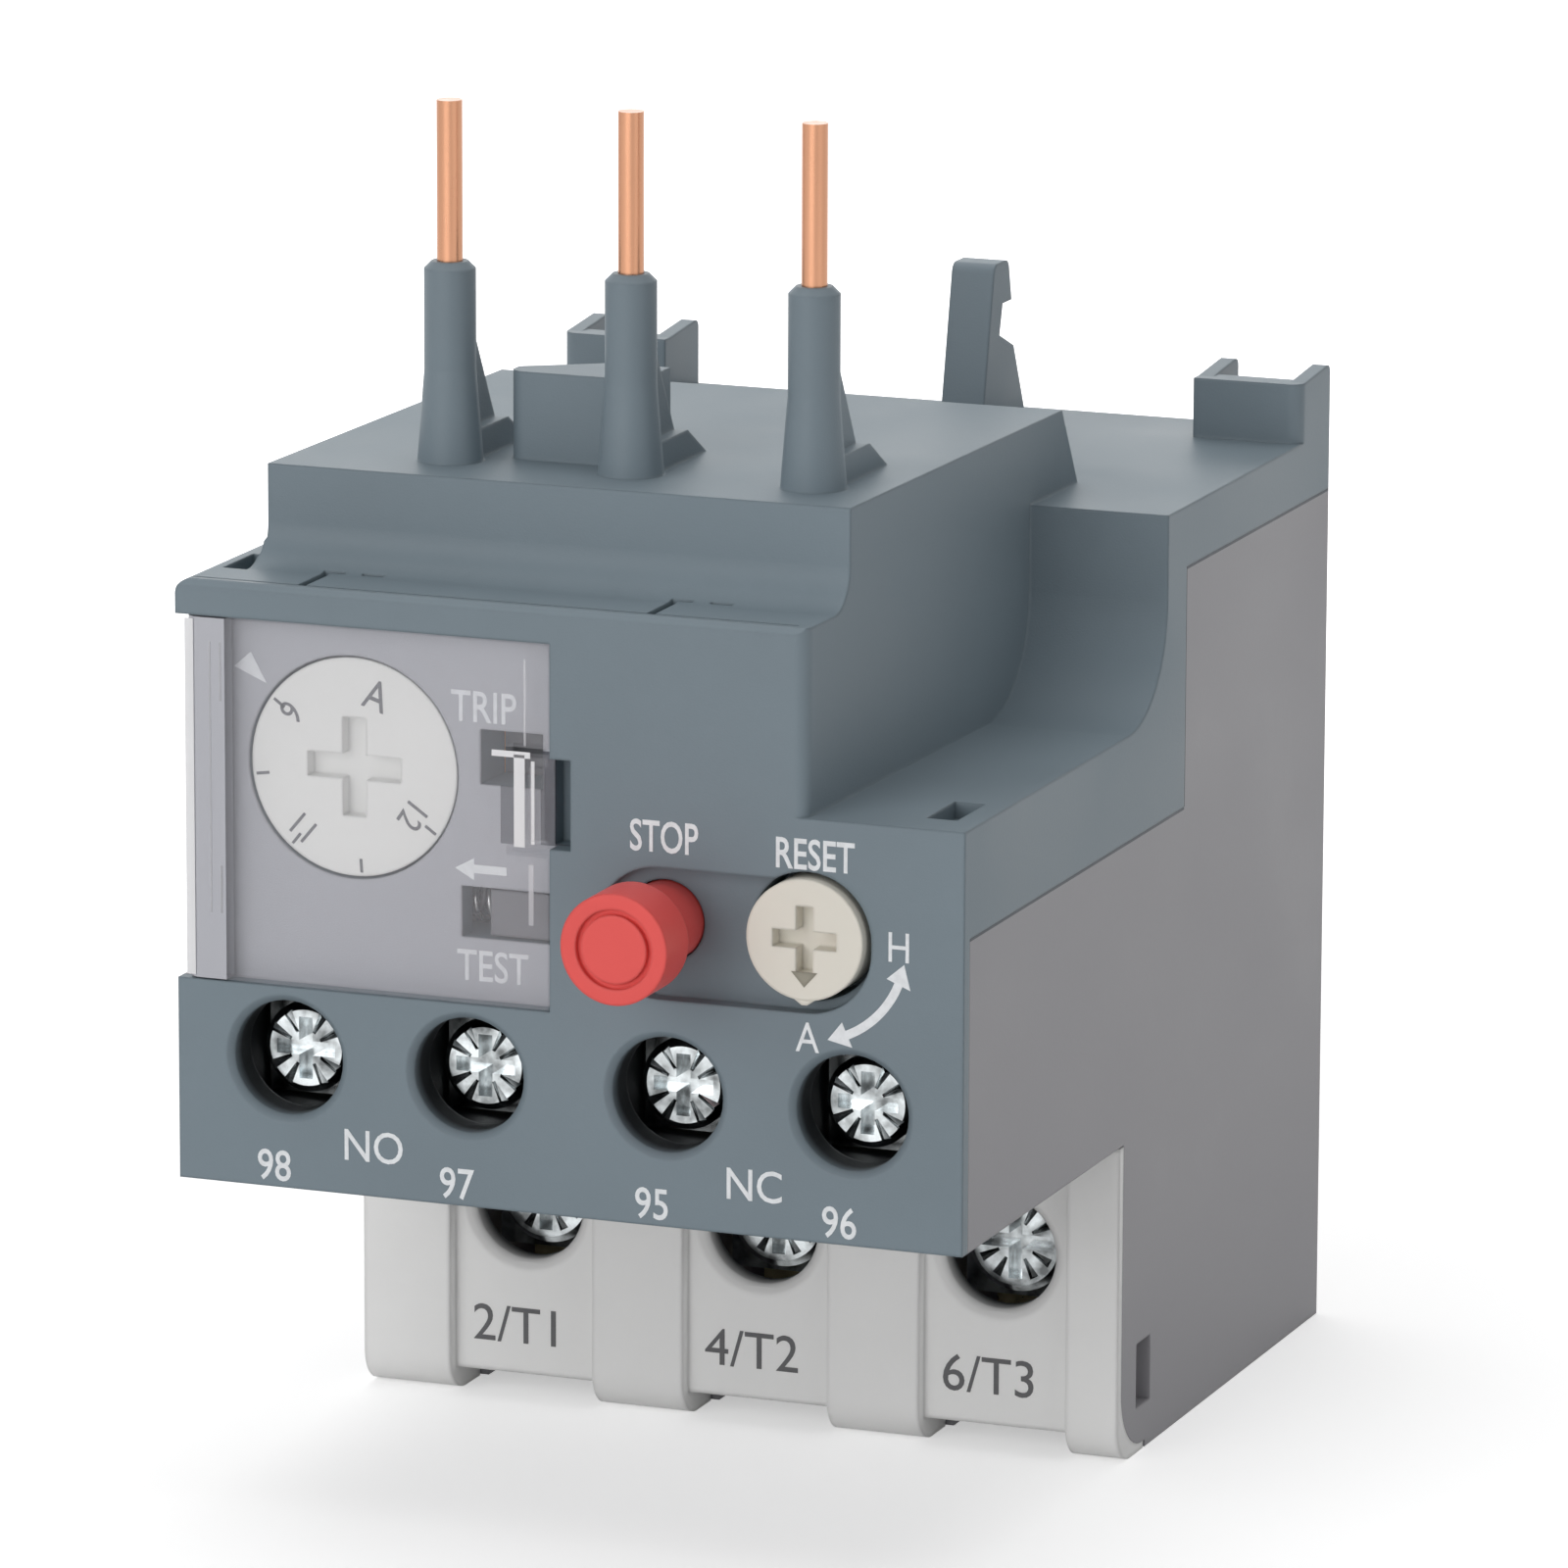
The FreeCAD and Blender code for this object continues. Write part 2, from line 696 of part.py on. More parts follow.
def cut_operating_face(piece):
    """Recess of the clear cover, and the openings of the dial, windows and buttons."""
    outside = half + 1
    low = cover_bottom - size.nest_gap
    high = cover_top + size.nest_gap
    right = size.nest_gap - size.cover_right
    block(piece, "Cut", "CoverRecess", (-outside, right), (-ZERO - 1, cover_floor), (low, high))
    pocket_x = (-outside, hinge_x + size.cover_knuckle + size.slide_gap * 2)
    pocket_y = (ZERO, hinge_y + size.cover_knuckle * 2)
    block(piece, "Cut", "HingePocket", pocket_x, pocket_y, (low, high))
    hinge_low = cover_bottom - size.trunnion_length - size.nest_gap
    hinge_high = cover_top + size.trunnion_length + size.nest_gap
    bore = size.cover_trunnion + size.fit_gap
    rod(piece, "Cut", "TrunnionBore", "Z", (hinge_x, hinge_y), bore, hinge_low, hinge_high)
    tab_low = cover_bottom + size.cover_tab_rise
    tab_z = (tab_low, tab_low + size.cover_tab_height)
    tab_left = -size.cover_right - size.nest_gap
    tab_x = (tab_left, size.finger_recess - size.cover_right)
    block(piece, "Cut", "FingerRecess", tab_x, (-ZERO - 1, size.finger_depth), tab_z)
    rod(piece, "Cut", "DialBore", "Y", (dial_x, dial_z), size.dial_radius + size.slide_gap,
        ZERO, dial_seat + size.slide_gap)
    rod(piece, "Cut", "DialShaftBore", "Y", (dial_x, dial_z), size.dial_shaft + size.fit_gap,
        ZERO, core_rear + 1)
    trip_low = cover_bottom + size.trip_rise
    trip_z = (trip_low, trip_low + size.trip_height)
    trip_x = (-size.trip_left, size.trip_width - size.trip_left)
    flag_front = dial_seat + size.bore_wall - size.slide_gap
    block(piece, "Cut", "TripWindow", trip_x, (ZERO, flag_front + 1), trip_z)
    flag_right = flag_left + size.flag_width + size.flag_travel
    room_x = (flag_left - size.slide_gap, flag_right + size.slide_gap)
    room_z = (trip_z[0] - size.flag_thickness, trip_z[1] + size.flag_thickness)
    block(piece, "Cut", "FlagRoom", room_x, (flag_front, core_rear + 1), room_z)
    test_low = cover_bottom + size.test_rise
    test_z = (test_low, test_low + size.test_height)
    test_x = (-size.test_left, size.test_width - size.test_left)
    block(piece, "Cut", "TestWindow", test_x, (ZERO, core_rear + 1), test_z)
    spring_x = (test_spring_left - size.nest_gap, -size.test_left + 1)
    spring_y = (cover_floor + size.test_thickness, core_rear + 1)
    block(piece, "Cut", "TestSpringRoom", spring_x, spring_y, test_z)
    recess_z = button_z - size.button_recess_drop
    recess = size.button_recess_radius
    for name, across in (("Stop", size.stop_across), ("Reset", size.reset_across)):
        rod(piece, "Cut", f"{name}Recess", "Y", (across, recess_z), recess,
            ZERO, size.button_recess_depth)
    block(piece, "Cut", "ButtonRecess", (size.stop_across, size.reset_across),
          (-ZERO - 1, size.button_recess_depth), (recess_z - recess, recess_z + recess))
    stop = (size.stop_across, button_z)
    rod(piece, "Cut", "StopBore", "Y", stop, size.stop_stalk_radius + size.guide_gap,
        ZERO, core_rear + 1)
    rod(piece, "Cut", "StopCollarBore", "Y", stop, collar_bore, stop_wall, core_rear + 1)
    reset = (size.reset_across, button_z)
    rod(piece, "Cut", "ResetBore", "Y", reset, size.reset_radius + size.slide_gap * 2,
        ZERO, reset_seat)
    rod(piece, "Cut", "ResetSleeveBore", "Y", reset, size.reset_sleeve_radius + size.guide_gap,
        ZERO, core_rear + 1)
    rod(piece, "Cut", "ResetCollarBore", "Y", reset, collar_bore,
        reset_seat + size.bore_wall, core_rear + 1)


def cut_aux_terminals(piece):
    """Four screwdriver holes, the terminal pockets behind them and the wire slots below."""
    for mark, across in aux_places.items():
        centre = (across, aux_z)
        rod(piece, "Cut", f"ScrewHole{mark}", "Y", centre, size.aux_hole_radius,
            ZERO, size.aux_hole_wall + 1)
        rod(piece, "Cut", f"ScrewHoleRim{mark}", "Y", centre, size.aux_hole_radius + size.aux_hole_rim,
            ZERO, size.aux_hole_rim, size.aux_hole_radius)
        pocket_x = (across - aux_pocket_half, across + aux_pocket_half)
        pocket_z = (aux_z - aux_pocket_half, aux_z + aux_pocket_half)
        block(piece, "Cut", f"Pocket{mark}", pocket_x, (size.aux_hole_wall, core_rear + 1), pocket_z)
        leg_z = (floor_top - 1, aux_z)
        leg_y = (aux_strip_front - size.slide_gap, core_rear + 1)
        block(piece, "Cut", f"LegSlot{mark}", pocket_x, leg_y, leg_z)
        wire_x = (across - size.aux_clamp_width / 2, across + size.aux_clamp_width / 2)
        wire_y = (aux_clamp_front + size.aux_clamp_thickness, aux_strip_front)
        block(piece, "Cut", f"WireSlot{mark}", wire_x, wire_y, (aux_bottom - 1, aux_z))


def add_sleeves(piece):
    """A chamfered sleeve with a flared skirt and a gusset web behind it, for each contact pin."""
    top = deck_top + size.sleeve_height
    for number, across in enumerate(pin_places, start=1):
        centre = (across, size.pin_depth)
        shoulder = top - size.sleeve_chamfer
        root = deck_top - size.case_wall / 2
        rod(piece, "Add", f"Sleeve{number}", "Z", centre, size.sleeve_radius, root, shoulder)
        rod(piece, "Add", f"SleeveTip{number}", "Z", centre, size.sleeve_radius,
            shoulder, top, size.sleeve_radius - size.sleeve_chamfer)
        rod(piece, "Add", f"SleeveSkirt{number}", "Z", centre, size.sleeve_foot,
            root, deck_top + size.sleeve_skirt, size.sleeve_radius)
        web = [
            (size.pin_depth, root),
            (size.pin_depth + size.web_reach, root),
            (size.pin_depth + size.web_reach, deck_top),
            (size.pin_depth + size.web_knee, deck_top + size.web_foot_height),
            (size.pin_depth + size.sleeve_radius, deck_top + size.web_height),
            (size.pin_depth, deck_top + size.web_height),
        ]
        prism(piece, "Add", f"Web{number}", "X", across - size.web_thickness / 2,
              across + size.web_thickness / 2, web)
        foot = [
            (size.pin_depth, root),
            (size.pin_depth + size.web_reach, root),
            (size.pin_depth + size.web_reach, deck_top),
            (size.pin_depth + size.web_knee, deck_top + size.web_foot_height),
            (size.pin_depth, deck_top + size.web_foot_height),
        ]
        prism(piece, "Add", f"WebFoot{number}", "X", across - size.web_foot_width / 2,
              across + size.web_foot_width / 2, foot)
    middle = pin_places[1]
    riser = [
        (-size.riser_left, size.riser_front),
        (middle, size.riser_front),
        (middle, size.riser_rear),
        (size.riser_rear - size.riser_front - size.riser_left, size.riser_rear),
        (-size.riser_left, size.riser_front + size.case_wall),
    ]
    corner = (size.edge_round, -size.riser_left, size.riser_front)
    prism(piece, "Add", "Riser", "Z", deck_top - size.case_wall / 2, deck_top + size.riser_height,
          riser, [corner])
    for number, across in enumerate(pin_places, start=1):
        rod(piece, "Cut", f"PinBore{number}", "Z", (across, size.pin_depth),
            size.pin_neck + size.fit_gap, run_z, top + 1)


def add_hooks(piece):
    """Two U-shaped hooks at the rear corners and the latch post that grip the contactor."""
    root = shoulder_top - size.case_wall / 2
    hook_top = shoulder_top + size.hook_height
    hook_front = size.body_depth - size.hook_depth
    prong = [
        (hook_front + size.hook_wall / 2, root),
        (size.body_depth, root),
        (size.body_depth, hook_top + size.hook_rise),
        (hook_front + size.hook_wall / 2, hook_top),
    ]
    tip = (size.hook_prong / 2, size.body_depth, hook_top + size.hook_rise)
    inner = half - size.hook_width
    for side in ("Right", "Left"):
        outer_x = on_side(side, half - size.hook_prong, half)
        inner_x = on_side(side, inner, inner + size.hook_prong)
        prism(piece, "Add", f"{side}OuterProng", "X", *outer_x, prong, [tip])
        prism(piece, "Add", f"{side}InnerProng", "X", *inner_x, prong, [tip])
        wall = box_outline(*on_side(side, inner, half), hook_front, hook_front + size.hook_wall)
        edge = half if side == "Right" else -half
        prism(piece, "Add", f"{side}HookWall", "Z", root, hook_top, wall,
              [(size.edge_round, edge, hook_front)])
    front = size.body_depth - size.latch_setback
    face = front + size.latch_lean
    top = shoulder_top + size.latch_height
    post = [
        (front, root),
        (front + size.latch_foot_depth, root),
        (front + size.latch_foot_depth, shoulder_top + size.soft_round * 2),
        (face + size.latch_head + size.soft_round, shoulder_top + size.latch_knee_rise),
        (face + size.latch_notch_depth, shoulder_top + size.latch_notch_rise),
        (face + size.latch_throat_depth, top - size.latch_barb_height),
        (face + size.latch_head, top - size.latch_barb_height),
        (face + size.latch_crown_depth, top),
        (face, top),
    ]
    left = size.latch_left
    crown = (size.latch_round, face, top)
    heel = (size.latch_round, face + size.latch_crown_depth, top)
    prism(piece, "Add", "LatchPost", "X", left, left + size.latch_width, post, [crown, heel])


def make_base_housing():
    """The deep lower moulding, which holds the main terminals and the bimetal chamber."""
    piece = Piece("base_housing")
    toe_z = size.soft_round
    side_profile = [
        (size.front_skin, aux_bottom),
        (core_front, aux_bottom),
        (core_front, toe_z),
        (bay_front + size.shroud_core, toe_z),
        (bay_front + size.shroud_core, ZERO),
        (size.body_depth, ZERO),
        (size.body_depth, seam_high),
        (size.seam_step, seam_high),
        (size.seam_step, seam_low),
        (size.front_skin, seam_low),
    ]
    toe = (size.toe_radius, core_front, toe_z)
    prism(piece, "Add", "Tub", "X", -half, half, side_profile, [toe])
    room_z = (floor_top, seam_high + 1)
    room_x = (-inner_half, inner_half)
    block(piece, "Cut", "Chamber", room_x, (-ZERO - 1, rear_inside), room_z)
    seat_x = (-(inner_half - size.nest_gap * 2), inner_half - size.nest_gap * 2)
    block(piece, "Cut", "ShroudSeat", seat_x, (size.shroud_front, bay_front), (-ZERO - 1, aux_bottom))
    lip = (size.shroud_front, size.shroud_front + size.shroud_lip)
    block(piece, "Cut", "LipSeat", seat_x, lip, (-ZERO - 1, size.shroud_lip_height))
    for number, across in enumerate(main_places, start=1):
        bay_x = (across - size.bay_width / 2, across + size.bay_width / 2)
        block(piece, "Cut", f"Bay{number}", bay_x, (bay_front - 1, bay_rear), (size.case_wall, bay_top))
        entry_x = (across - size.entry_width / 2, across + size.entry_width / 2)
        entry_y = (size.shroud_front + size.shroud_lip, main_bar_front)
        block(piece, "Cut", f"Entry{number}", entry_x, entry_y, (-ZERO - 1, size.case_wall + 1))
        slot = size.main_bar_width / 2 + size.slide_gap
        slot_y = (main_bar_front - size.slide_gap, main_bar_rear + size.slide_gap)
        block(piece, "Cut", f"BarSlot{number}", (across - slot, across + slot), slot_y,
              (bay_top - 1, floor_top + 1))
    for mark, across in aux_places.items():
        wire_x = (across - size.aux_clamp_width / 2, across + size.aux_clamp_width / 2)
        wire_y = (aux_clamp_front + size.aux_clamp_thickness, aux_strip_front)
        block(piece, "Cut", f"WireSlot{mark}", wire_x, wire_y, (aux_bottom - 1, floor_top + 1))
    pocket_x = (-half - 1, hinge_x + size.cover_knuckle + size.slide_gap * 2)
    pocket_y = (ZERO, hinge_y + size.cover_knuckle * 2)
    block(piece, "Cut", "HingePocket", pocket_x, pocket_y, (cover_bottom - size.nest_gap, seam_low + 1))
    trunnion_end = cover_bottom - size.trunnion_length - size.nest_gap
    rod(piece, "Cut", "TrunnionBore", "Z", (hinge_x, hinge_y), size.cover_trunnion + size.fit_gap,
        trunnion_end, cover_bottom)
    slot_y = (size.side_slot_front, size.side_slot_front + size.side_slot_width)
    slot_z = (size.side_slot_bottom, size.side_slot_bottom + size.side_slot_height)
    for side in ("Right", "Left"):
        slot_x = on_side(side, half - size.slot_depth, half + 1)
        block(piece, "Cut", f"{side}SideSlot", slot_x, slot_y, slot_z)
    add_base_supports(piece)
    return piece


def add_base_supports(piece):
    """Rails of the trip bar and bosses of the two pivot pins, on the chamber floor."""
    rail_top = bar_bottom - size.nest_gap
    rail_x = (-bar_reach, bar_shoulder)
    rail_z = (floor_top - size.case_wall / 2, rail_top)
    for name, edge in (("Front", bar_front), ("Rear", bar_rear - size.rail_width)):
        block(piece, "Add", f"{name}Rail", rail_x, (edge, edge + size.rail_width), rail_z)
    for name, centre in (("Lever", lever_centre), ("Rocker", rocker_centre)):
        rod(piece, "Add", f"{name}Boss", "Z", centre, size.lever_hub, floor_top - size.case_wall / 2,
            lever_bottom - size.nest_gap)
        rod(piece, "Cut", f"{name}PinHole", "Z", centre, size.lever_pin + size.fit_gap,
            floor_top - size.nest_gap, lever_bottom)


def make_terminal_shroud():
    """Light front cover of the main terminals, with ribs between three recessed panels."""
    piece = Piece("terminal_shroud")
    rear = bay_front - size.nest_gap
    lip_rear = size.shroud_front + size.shroud_lip - size.nest_gap
    lip_top = size.shroud_lip_height - size.nest_gap
    profile = [
        (size.shroud_front, ZERO),
        (lip_rear, ZERO),
        (lip_rear, lip_top),
        (rear, lip_top),
        (rear, aux_bottom - size.nest_gap),
        (size.shroud_front, aux_bottom - size.nest_gap),
    ]
    toe = (size.toe_radius * 0.6, size.shroud_front, ZERO)
    prism(piece, "Add", "Plate", "X", -half, half, profile, [toe])
    cheek = [
        (core_front, size.soft_round),
        (lip_rear + 1, size.soft_round),
        (lip_rear + 1, aux_bottom),
        (core_front, aux_bottom),
    ]
    hollow = (size.toe_radius, core_front, size.soft_round)
    for side in ("Right", "Left"):
        across = on_side(side, inner_half - size.nest_gap * 3, half + 1)
        prism(piece, "Cut", f"{side}Cheek", "X", *across, cheek, [hollow])
    for number, across in enumerate(main_places, start=1):
        panel_x = (across - size.panel_width / 2, across + size.panel_width / 2)
        face = (ZERO, size.shroud_front + size.panel_recess)
        block(piece, "Cut", f"Panel{number}", panel_x, face, (-ZERO - 1, aux_bottom))
        block(piece, "Cut", f"Under{number}", panel_x, (ZERO, lip_rear + 1),
              (-ZERO - 1, size.panel_bottom))
        rod(piece, "Cut", f"ScrewHole{number}", "Y", (across, size.main_height),
            size.main_hole_radius, size.shroud_front, bay_front + 1)
        panel_face = size.shroud_front + size.panel_recess
        rod(piece, "Cut", f"ScrewHoleRim{number}", "Y", (across, size.main_height),
            size.main_hole_radius + size.main_hole_rim, panel_face,
            panel_face + size.main_hole_rim, size.main_hole_radius)
    return piece


def make_contact_pin(number, across):
    """Round copper pin with a narrower shank, bent under the deck towards its bimetal."""
    piece = Piece(f"contact_pin_{number}")
    shoulder = deck_top + size.sleeve_height
    top = shoulder + size.pin_exposed
    body = doc.addObject("PartDesign::Body", f"{piece.name}_Wire")
    path = body.newObject("Sketcher::SketchObject", "Path")
    attach(path, body, "X", (ZERO, ZERO, across))
    draw_bent_path(path, (size.pin_depth, top), (size.bimetal_front, run_z), size.pin_bend)
    section = body.newObject("Sketcher::SketchObject", "Section")
    attach(section, body, "Z", (across, size.pin_depth, top))
    draw_circle(section, (ZERO, ZERO), size.pin_neck)
    pin = body.newObject("PartDesign::AdditivePipe", "Pin")
    pin.Profile = section
    pin.Spine = (path, ["Edge1", "Edge2", "Edge3"])
    piece.take("Add", body)
    rod(piece, "Add", "Prong", "Z", (across, size.pin_depth), size.pin_radius, shoulder, top)


def draw_circle(sketch, centre, radius):
    """A circle held at its centre and radius."""
    place = FreeCAD.Vector(centre[0].value, centre[1].value, 0)
    sketch.addGeometry(Part.Circle(place, FreeCAD.Vector(0, 0, 1), radius.value), False)
    pin_point(sketch, 0, 3, *centre)
    index = sketch.addConstraint(Sketcher.Constraint("Radius", 0, radius.value))
    sketch.setExpression(f"Constraints[{index}]", radius.text)


def draw_bent_path(sketch, start, end, bend):
    """A vertical run down from start, a quarter bend, and a level run to end."""
    su, sv = start
    eu, ev = end
    turn = FreeCAD.Vector(su.value + bend.value, ev.value + bend.value, 0)
    down = FreeCAD.Vector(su.value, turn.y, 0)
    along = FreeCAD.Vector(turn.x, ev.value, 0)
    sketch.addGeometry(Part.LineSegment(FreeCAD.Vector(su.value, sv.value, 0), down), False)
    middle = FreeCAD.Vector(turn.x - bend.value * 0.70711, turn.y - bend.value * 0.70711, 0)
    sketch.addGeometry(Part.Arc(down, middle, along), False)
    sketch.addGeometry(Part.LineSegment(along, FreeCAD.Vector(eu.value, ev.value, 0)), False)
    sketch.addConstraint(Sketcher.Constraint("Vertical", 0))
    sketch.addConstraint(Sketcher.Constraint("Horizontal", 2))
    arc = sketch.Geometry[1]
    first, last = (1, 2) if arc.StartPoint.distanceToPoint(down) < 0.001 else (2, 1)
    sketch.addConstraint(Sketcher.Constraint("Tangent", 0, 2, 1, first))
    sketch.addConstraint(Sketcher.Constraint("Tangent", 1, last, 2, 1))
    index = sketch.addConstraint(Sketcher.Constraint("Radius", 1, bend.value))
    sketch.setExpression(f"Constraints[{index}]", bend.text)
    pin_point(sketch, 0, 1, su, sv)
    pin_point(sketch, 2, 2, eu, ev)


def make_bimetal(number, across):
    """Upright bimetal strip, welded to its pin at the top and free at the bottom."""
    piece = Piece(f"bimetal_strip_{number}")
    reach = size.bimetal_thickness / 2
    top = shoulder_top - size.case_wall - size.nest_gap
    block(piece, "Add", "Strip", (across - reach, across + reach),
          (size.bimetal_front, bimetal_rear), (bimetal_bottom, top))
    return piece


def box_outline(low_u, high_u, low_v, high_v):
    return [(low_u, low_v), (high_u, low_v), (high_u, high_v), (low_u, high_v)]


def make_heater(number, across, terminal):
    """Flat resistance ribbon wound round the bimetal, led down to the terminal bar."""
    piece = Piece(f"heater_winding_{number}")
    inside_x = size.bimetal_thickness / 2 + size.heater_gap
    outside_x = inside_x + size.heater_ribbon
    inside_y = (size.bimetal_front - size.heater_gap, bimetal_rear + size.heater_gap)
    outside_y = (inside_y[0] - size.heater_ribbon, inside_y[1] + size.heater_ribbon)
    first = main_bar_top - size.heater_turn
    spine_x = (across - outside_x, across - inside_x)
    turns = 8
    last = first + size.heater_pitch * (turns - 1) + size.heater_turn
    spine_y = (outside_y[0], outside_y[0] + size.heater_turn)
    block(piece, "Add", "Spine", spine_x, spine_y, (first, last))
    outer = box_outline(across - outside_x, across + outside_x, *outside_y)
    inner = box_outline(across - inside_x, across + inside_x, *inside_y)
    for turn in range(turns):
        low = first + size.heater_pitch * turn
        prism(piece, "Add", f"Turn{turn}", "Z", low, low + size.heater_turn, outer, inside=inner)
    lead_y = (main_bar_rear, outside_y[0] + size.heater_ribbon)
    low_x = across if across.value < terminal.value else terminal
    high_x = terminal if across.value < terminal.value else across
    lead_x = (low_x - outside_x, high_x + outside_x)
    block(piece, "Add", "Lead", lead_x, lead_y, (first, first + size.heater_turn))
    return piece


def cross_slots(piece, centre, reach, width, front, depth, name):
    """A cross recess for a screwdriver."""
    x, z = centre
    half_width = width / 2
    block(piece, "Cut", f"{name}Level", (x - reach, x + reach), (front - 1, front + depth),
          (z - half_width, z + half_width))
    block(piece, "Cut", f"{name}Upright", (x - half_width, x + half_width), (front - 1, front + depth),
          (z - reach, z + reach))


def make_screw(name, centre, front, head_radius, head_height, shank_radius, shank_length):
    """Domed cross-slot terminal screw."""
    piece = Piece(name)
    rear = front + head_height
    rod(piece, "Add", "Head", "Y", centre, head_radius, front + size.soft_round, rear)
    rod(piece, "Add", "Dome", "Y", centre, head_radius - size.soft_round, front,
        front + size.soft_round, head_radius)
    rod(piece, "Add", "Shank", "Y", centre, shank_radius, rear, rear + shank_length)
    reach = head_radius - size.soft_round * 2
    cross_slots(piece, centre, reach, size.screw_slot, front, size.screw_slot_depth, "Slot")
    return piece


def make_main_pole(number, across):
    """Screw, pressure clamp and bar of one main terminal."""
    centre = (across, size.main_height)
    make_screw(f"main_screw_{number}", centre, main_head_front, size.main_head_radius,
               size.main_head_height, size.main_shank_radius, size.main_shank_length)
    clamp = Piece(f"main_clamp_{number}")
    reach = size.main_clamp_width / 2
    rear = main_clamp_front + size.main_clamp_thickness
    block(clamp, "Add", "Plate", (across - reach, across + reach), (main_clamp_front, rear),
          (size.main_height - reach, size.main_height + reach))
    tooth = [
        (rear - size.soft_round, size.main_height - reach),
        (rear + size.soft_round, size.main_height - reach),
        (rear + size.soft_round, size.main_height - size.main_head_radius),
        (rear - size.soft_round, size.main_height - size.main_head_radius),
    ]
    prism(clamp, "Add", "Grip", "X", across - reach, across + reach, tooth)
    rod(clamp, "Cut", "ScrewBore", "Y", centre, size.main_shank_radius + size.fit_gap,
        main_clamp_front - 1, rear + 1)
    bar = Piece(f"main_terminal_{number}")
    side = size.main_bar_width / 2
    block(bar, "Add", "Bar", (across - side, across + side), (main_bar_front, main_bar_rear),
          (size.main_height - size.main_head_radius * 2, main_bar_top))
    head = size.main_head_radius + size.case_wall / 2
    block(bar, "Add", "Anvil", (across - head, across + head), (main_bar_front, main_bar_rear),
          (size.main_height - size.main_head_radius * 2, size.main_height + head))
    rod(bar, "Cut", "Thread", "Y", centre, size.main_shank_radius + size.fit_gap,
        main_bar_front - 1, main_bar_rear + 1)


def make_aux_terminal(mark, across, contact_depth, contact_x):
    """Screw, washer plate and bent strip of one auxiliary terminal."""
    centre = (across, aux_z)
    make_screw(f"aux_screw_{mark}", centre, aux_head_front, size.aux_head_radius,
               size.aux_head_height, size.aux_shank_radius, size.aux_shank_length)
    clamp = Piece(f"aux_clamp_{mark}")
    reach = size.aux_clamp_width / 2
    rear = aux_clamp_front + size.aux_clamp_thickness
    block(clamp, "Add", "Plate", (across - reach, across + reach), (aux_clamp_front, rear),
          (aux_z - reach, aux_z + reach))
    rod(clamp, "Cut", "ScrewBore", "Y", centre, size.aux_shank_radius + size.fit_gap,
        aux_clamp_front - 1, rear + 1)
    strip = Piece(f"aux_terminal_{mark}")
    side = size.aux_strip_height / 2
    block(strip, "Add", "Plate", (across - side, across + side), (aux_strip_front, aux_strip_rear),
          (strip_floor, aux_z + side))
    rod(strip, "Cut", "Thread", "Y", centre, size.aux_shank_radius + size.fit_gap,
        aux_strip_front - 1, aux_strip_rear + 1)
    leg = size.aux_clamp_width / 4
    tab_rear = contact_depth - size.rivet_height
    tab_front = tab_rear - size.aux_strip_thickness
    block(strip, "Add", "Leg", (contact_x - leg, contact_x + leg), (aux_strip_rear, tab_rear),
          (strip_floor, strip_leg_top))
    block(strip, "Add", "Tab", (contact_x - leg, contact_x + leg), (tab_front, tab_rear),
          (strip_floor, contact_z + size.rivet_radius))
    rod(strip, "Add", "Rivet", "Y", (contact_x, contact_z), size.rivet_radius,
        tab_rear, contact_depth)


def make_mechanism_plate():
    """Upright carrier plate behind the front moulding, which holds the buttons' tails and pins."""
    piece = Piece("mechanism_plate")
    foot = floor_top + size.nest_gap
    low_top = ledge_top - size.case_wall - size.nest_gap
    y = (plate_front, plate_rear)
    block(piece, "Add", "Plate", (-core_half, core_half), y, (foot, low_top))
    left = size.block_shift + size.case_wall + size.nest_gap * 2 - block_left
    right = size.block_right - size.case_wall - size.nest_gap
    block(piece, "Add", "Upper", (left, right), y, (foot, plate_top))
    ear = size.adjust_hub + size.case_wall / 2
    block(piece, "Add", "Ear", (-(size.adjust_across + ear), ear - size.adjust_across), y,
          (foot, adjust_z + size.plate_ear - size.case_wall / 2))
    for name, across in (("Stop", size.stop_across), ("Reset", size.reset_across)):
        rod(piece, "Cut", f"{name}Tail", "Y", (across, button_z), size.tail_radius + size.guide_gap,
            plate_front - 1, plate_rear + 1)
    rod(piece, "Cut", "DialShaft", "Y", (dial_x, dial_z), size.dial_shaft + size.fit_gap,
        plate_front - 1, plate_rear + 1)
    rod(piece, "Cut", "AdjustPin", "Y", (-size.adjust_across, adjust_z), size.adjust_pin + size.fit_gap,
        plate_front - 1, plate_rear + 1)
    for mark, across in contact_places.items():
        reach = size.aux_clamp_width / 4 + size.slide_gap
        block(piece, "Cut", f"Notch{mark}", (across - reach, across + reach),
              (plate_front - 1, plate_rear + 1), (floor_top, strip_leg_top + size.slide_gap))
        rod(piece, "Cut", f"ScrewRelief{mark}", "Y", (aux_places[mark], aux_z),
            size.aux_shank_radius + size.slide_gap * 2, plate_front - 1, plate_rear + 1)
    return piece


def make_pivot_pins():
    for name, centre, height in (
        ("trip_lever_pin", lever_centre, size.lever_hub_height),
        ("rocker_pin", rocker_centre, size.lever_hub_height),
    ):
        piece = Piece(name)
        rod(piece, "Add", "Pin", "Z", centre, size.lever_pin, floor_top, lever_bottom + height)
    piece = Piece("adjusting_pin")
    rod(piece, "Add", "Pin", "Y", (-size.adjust_across, adjust_z), size.adjust_pin,
        core_rear + size.slide_gap, plate_rear)


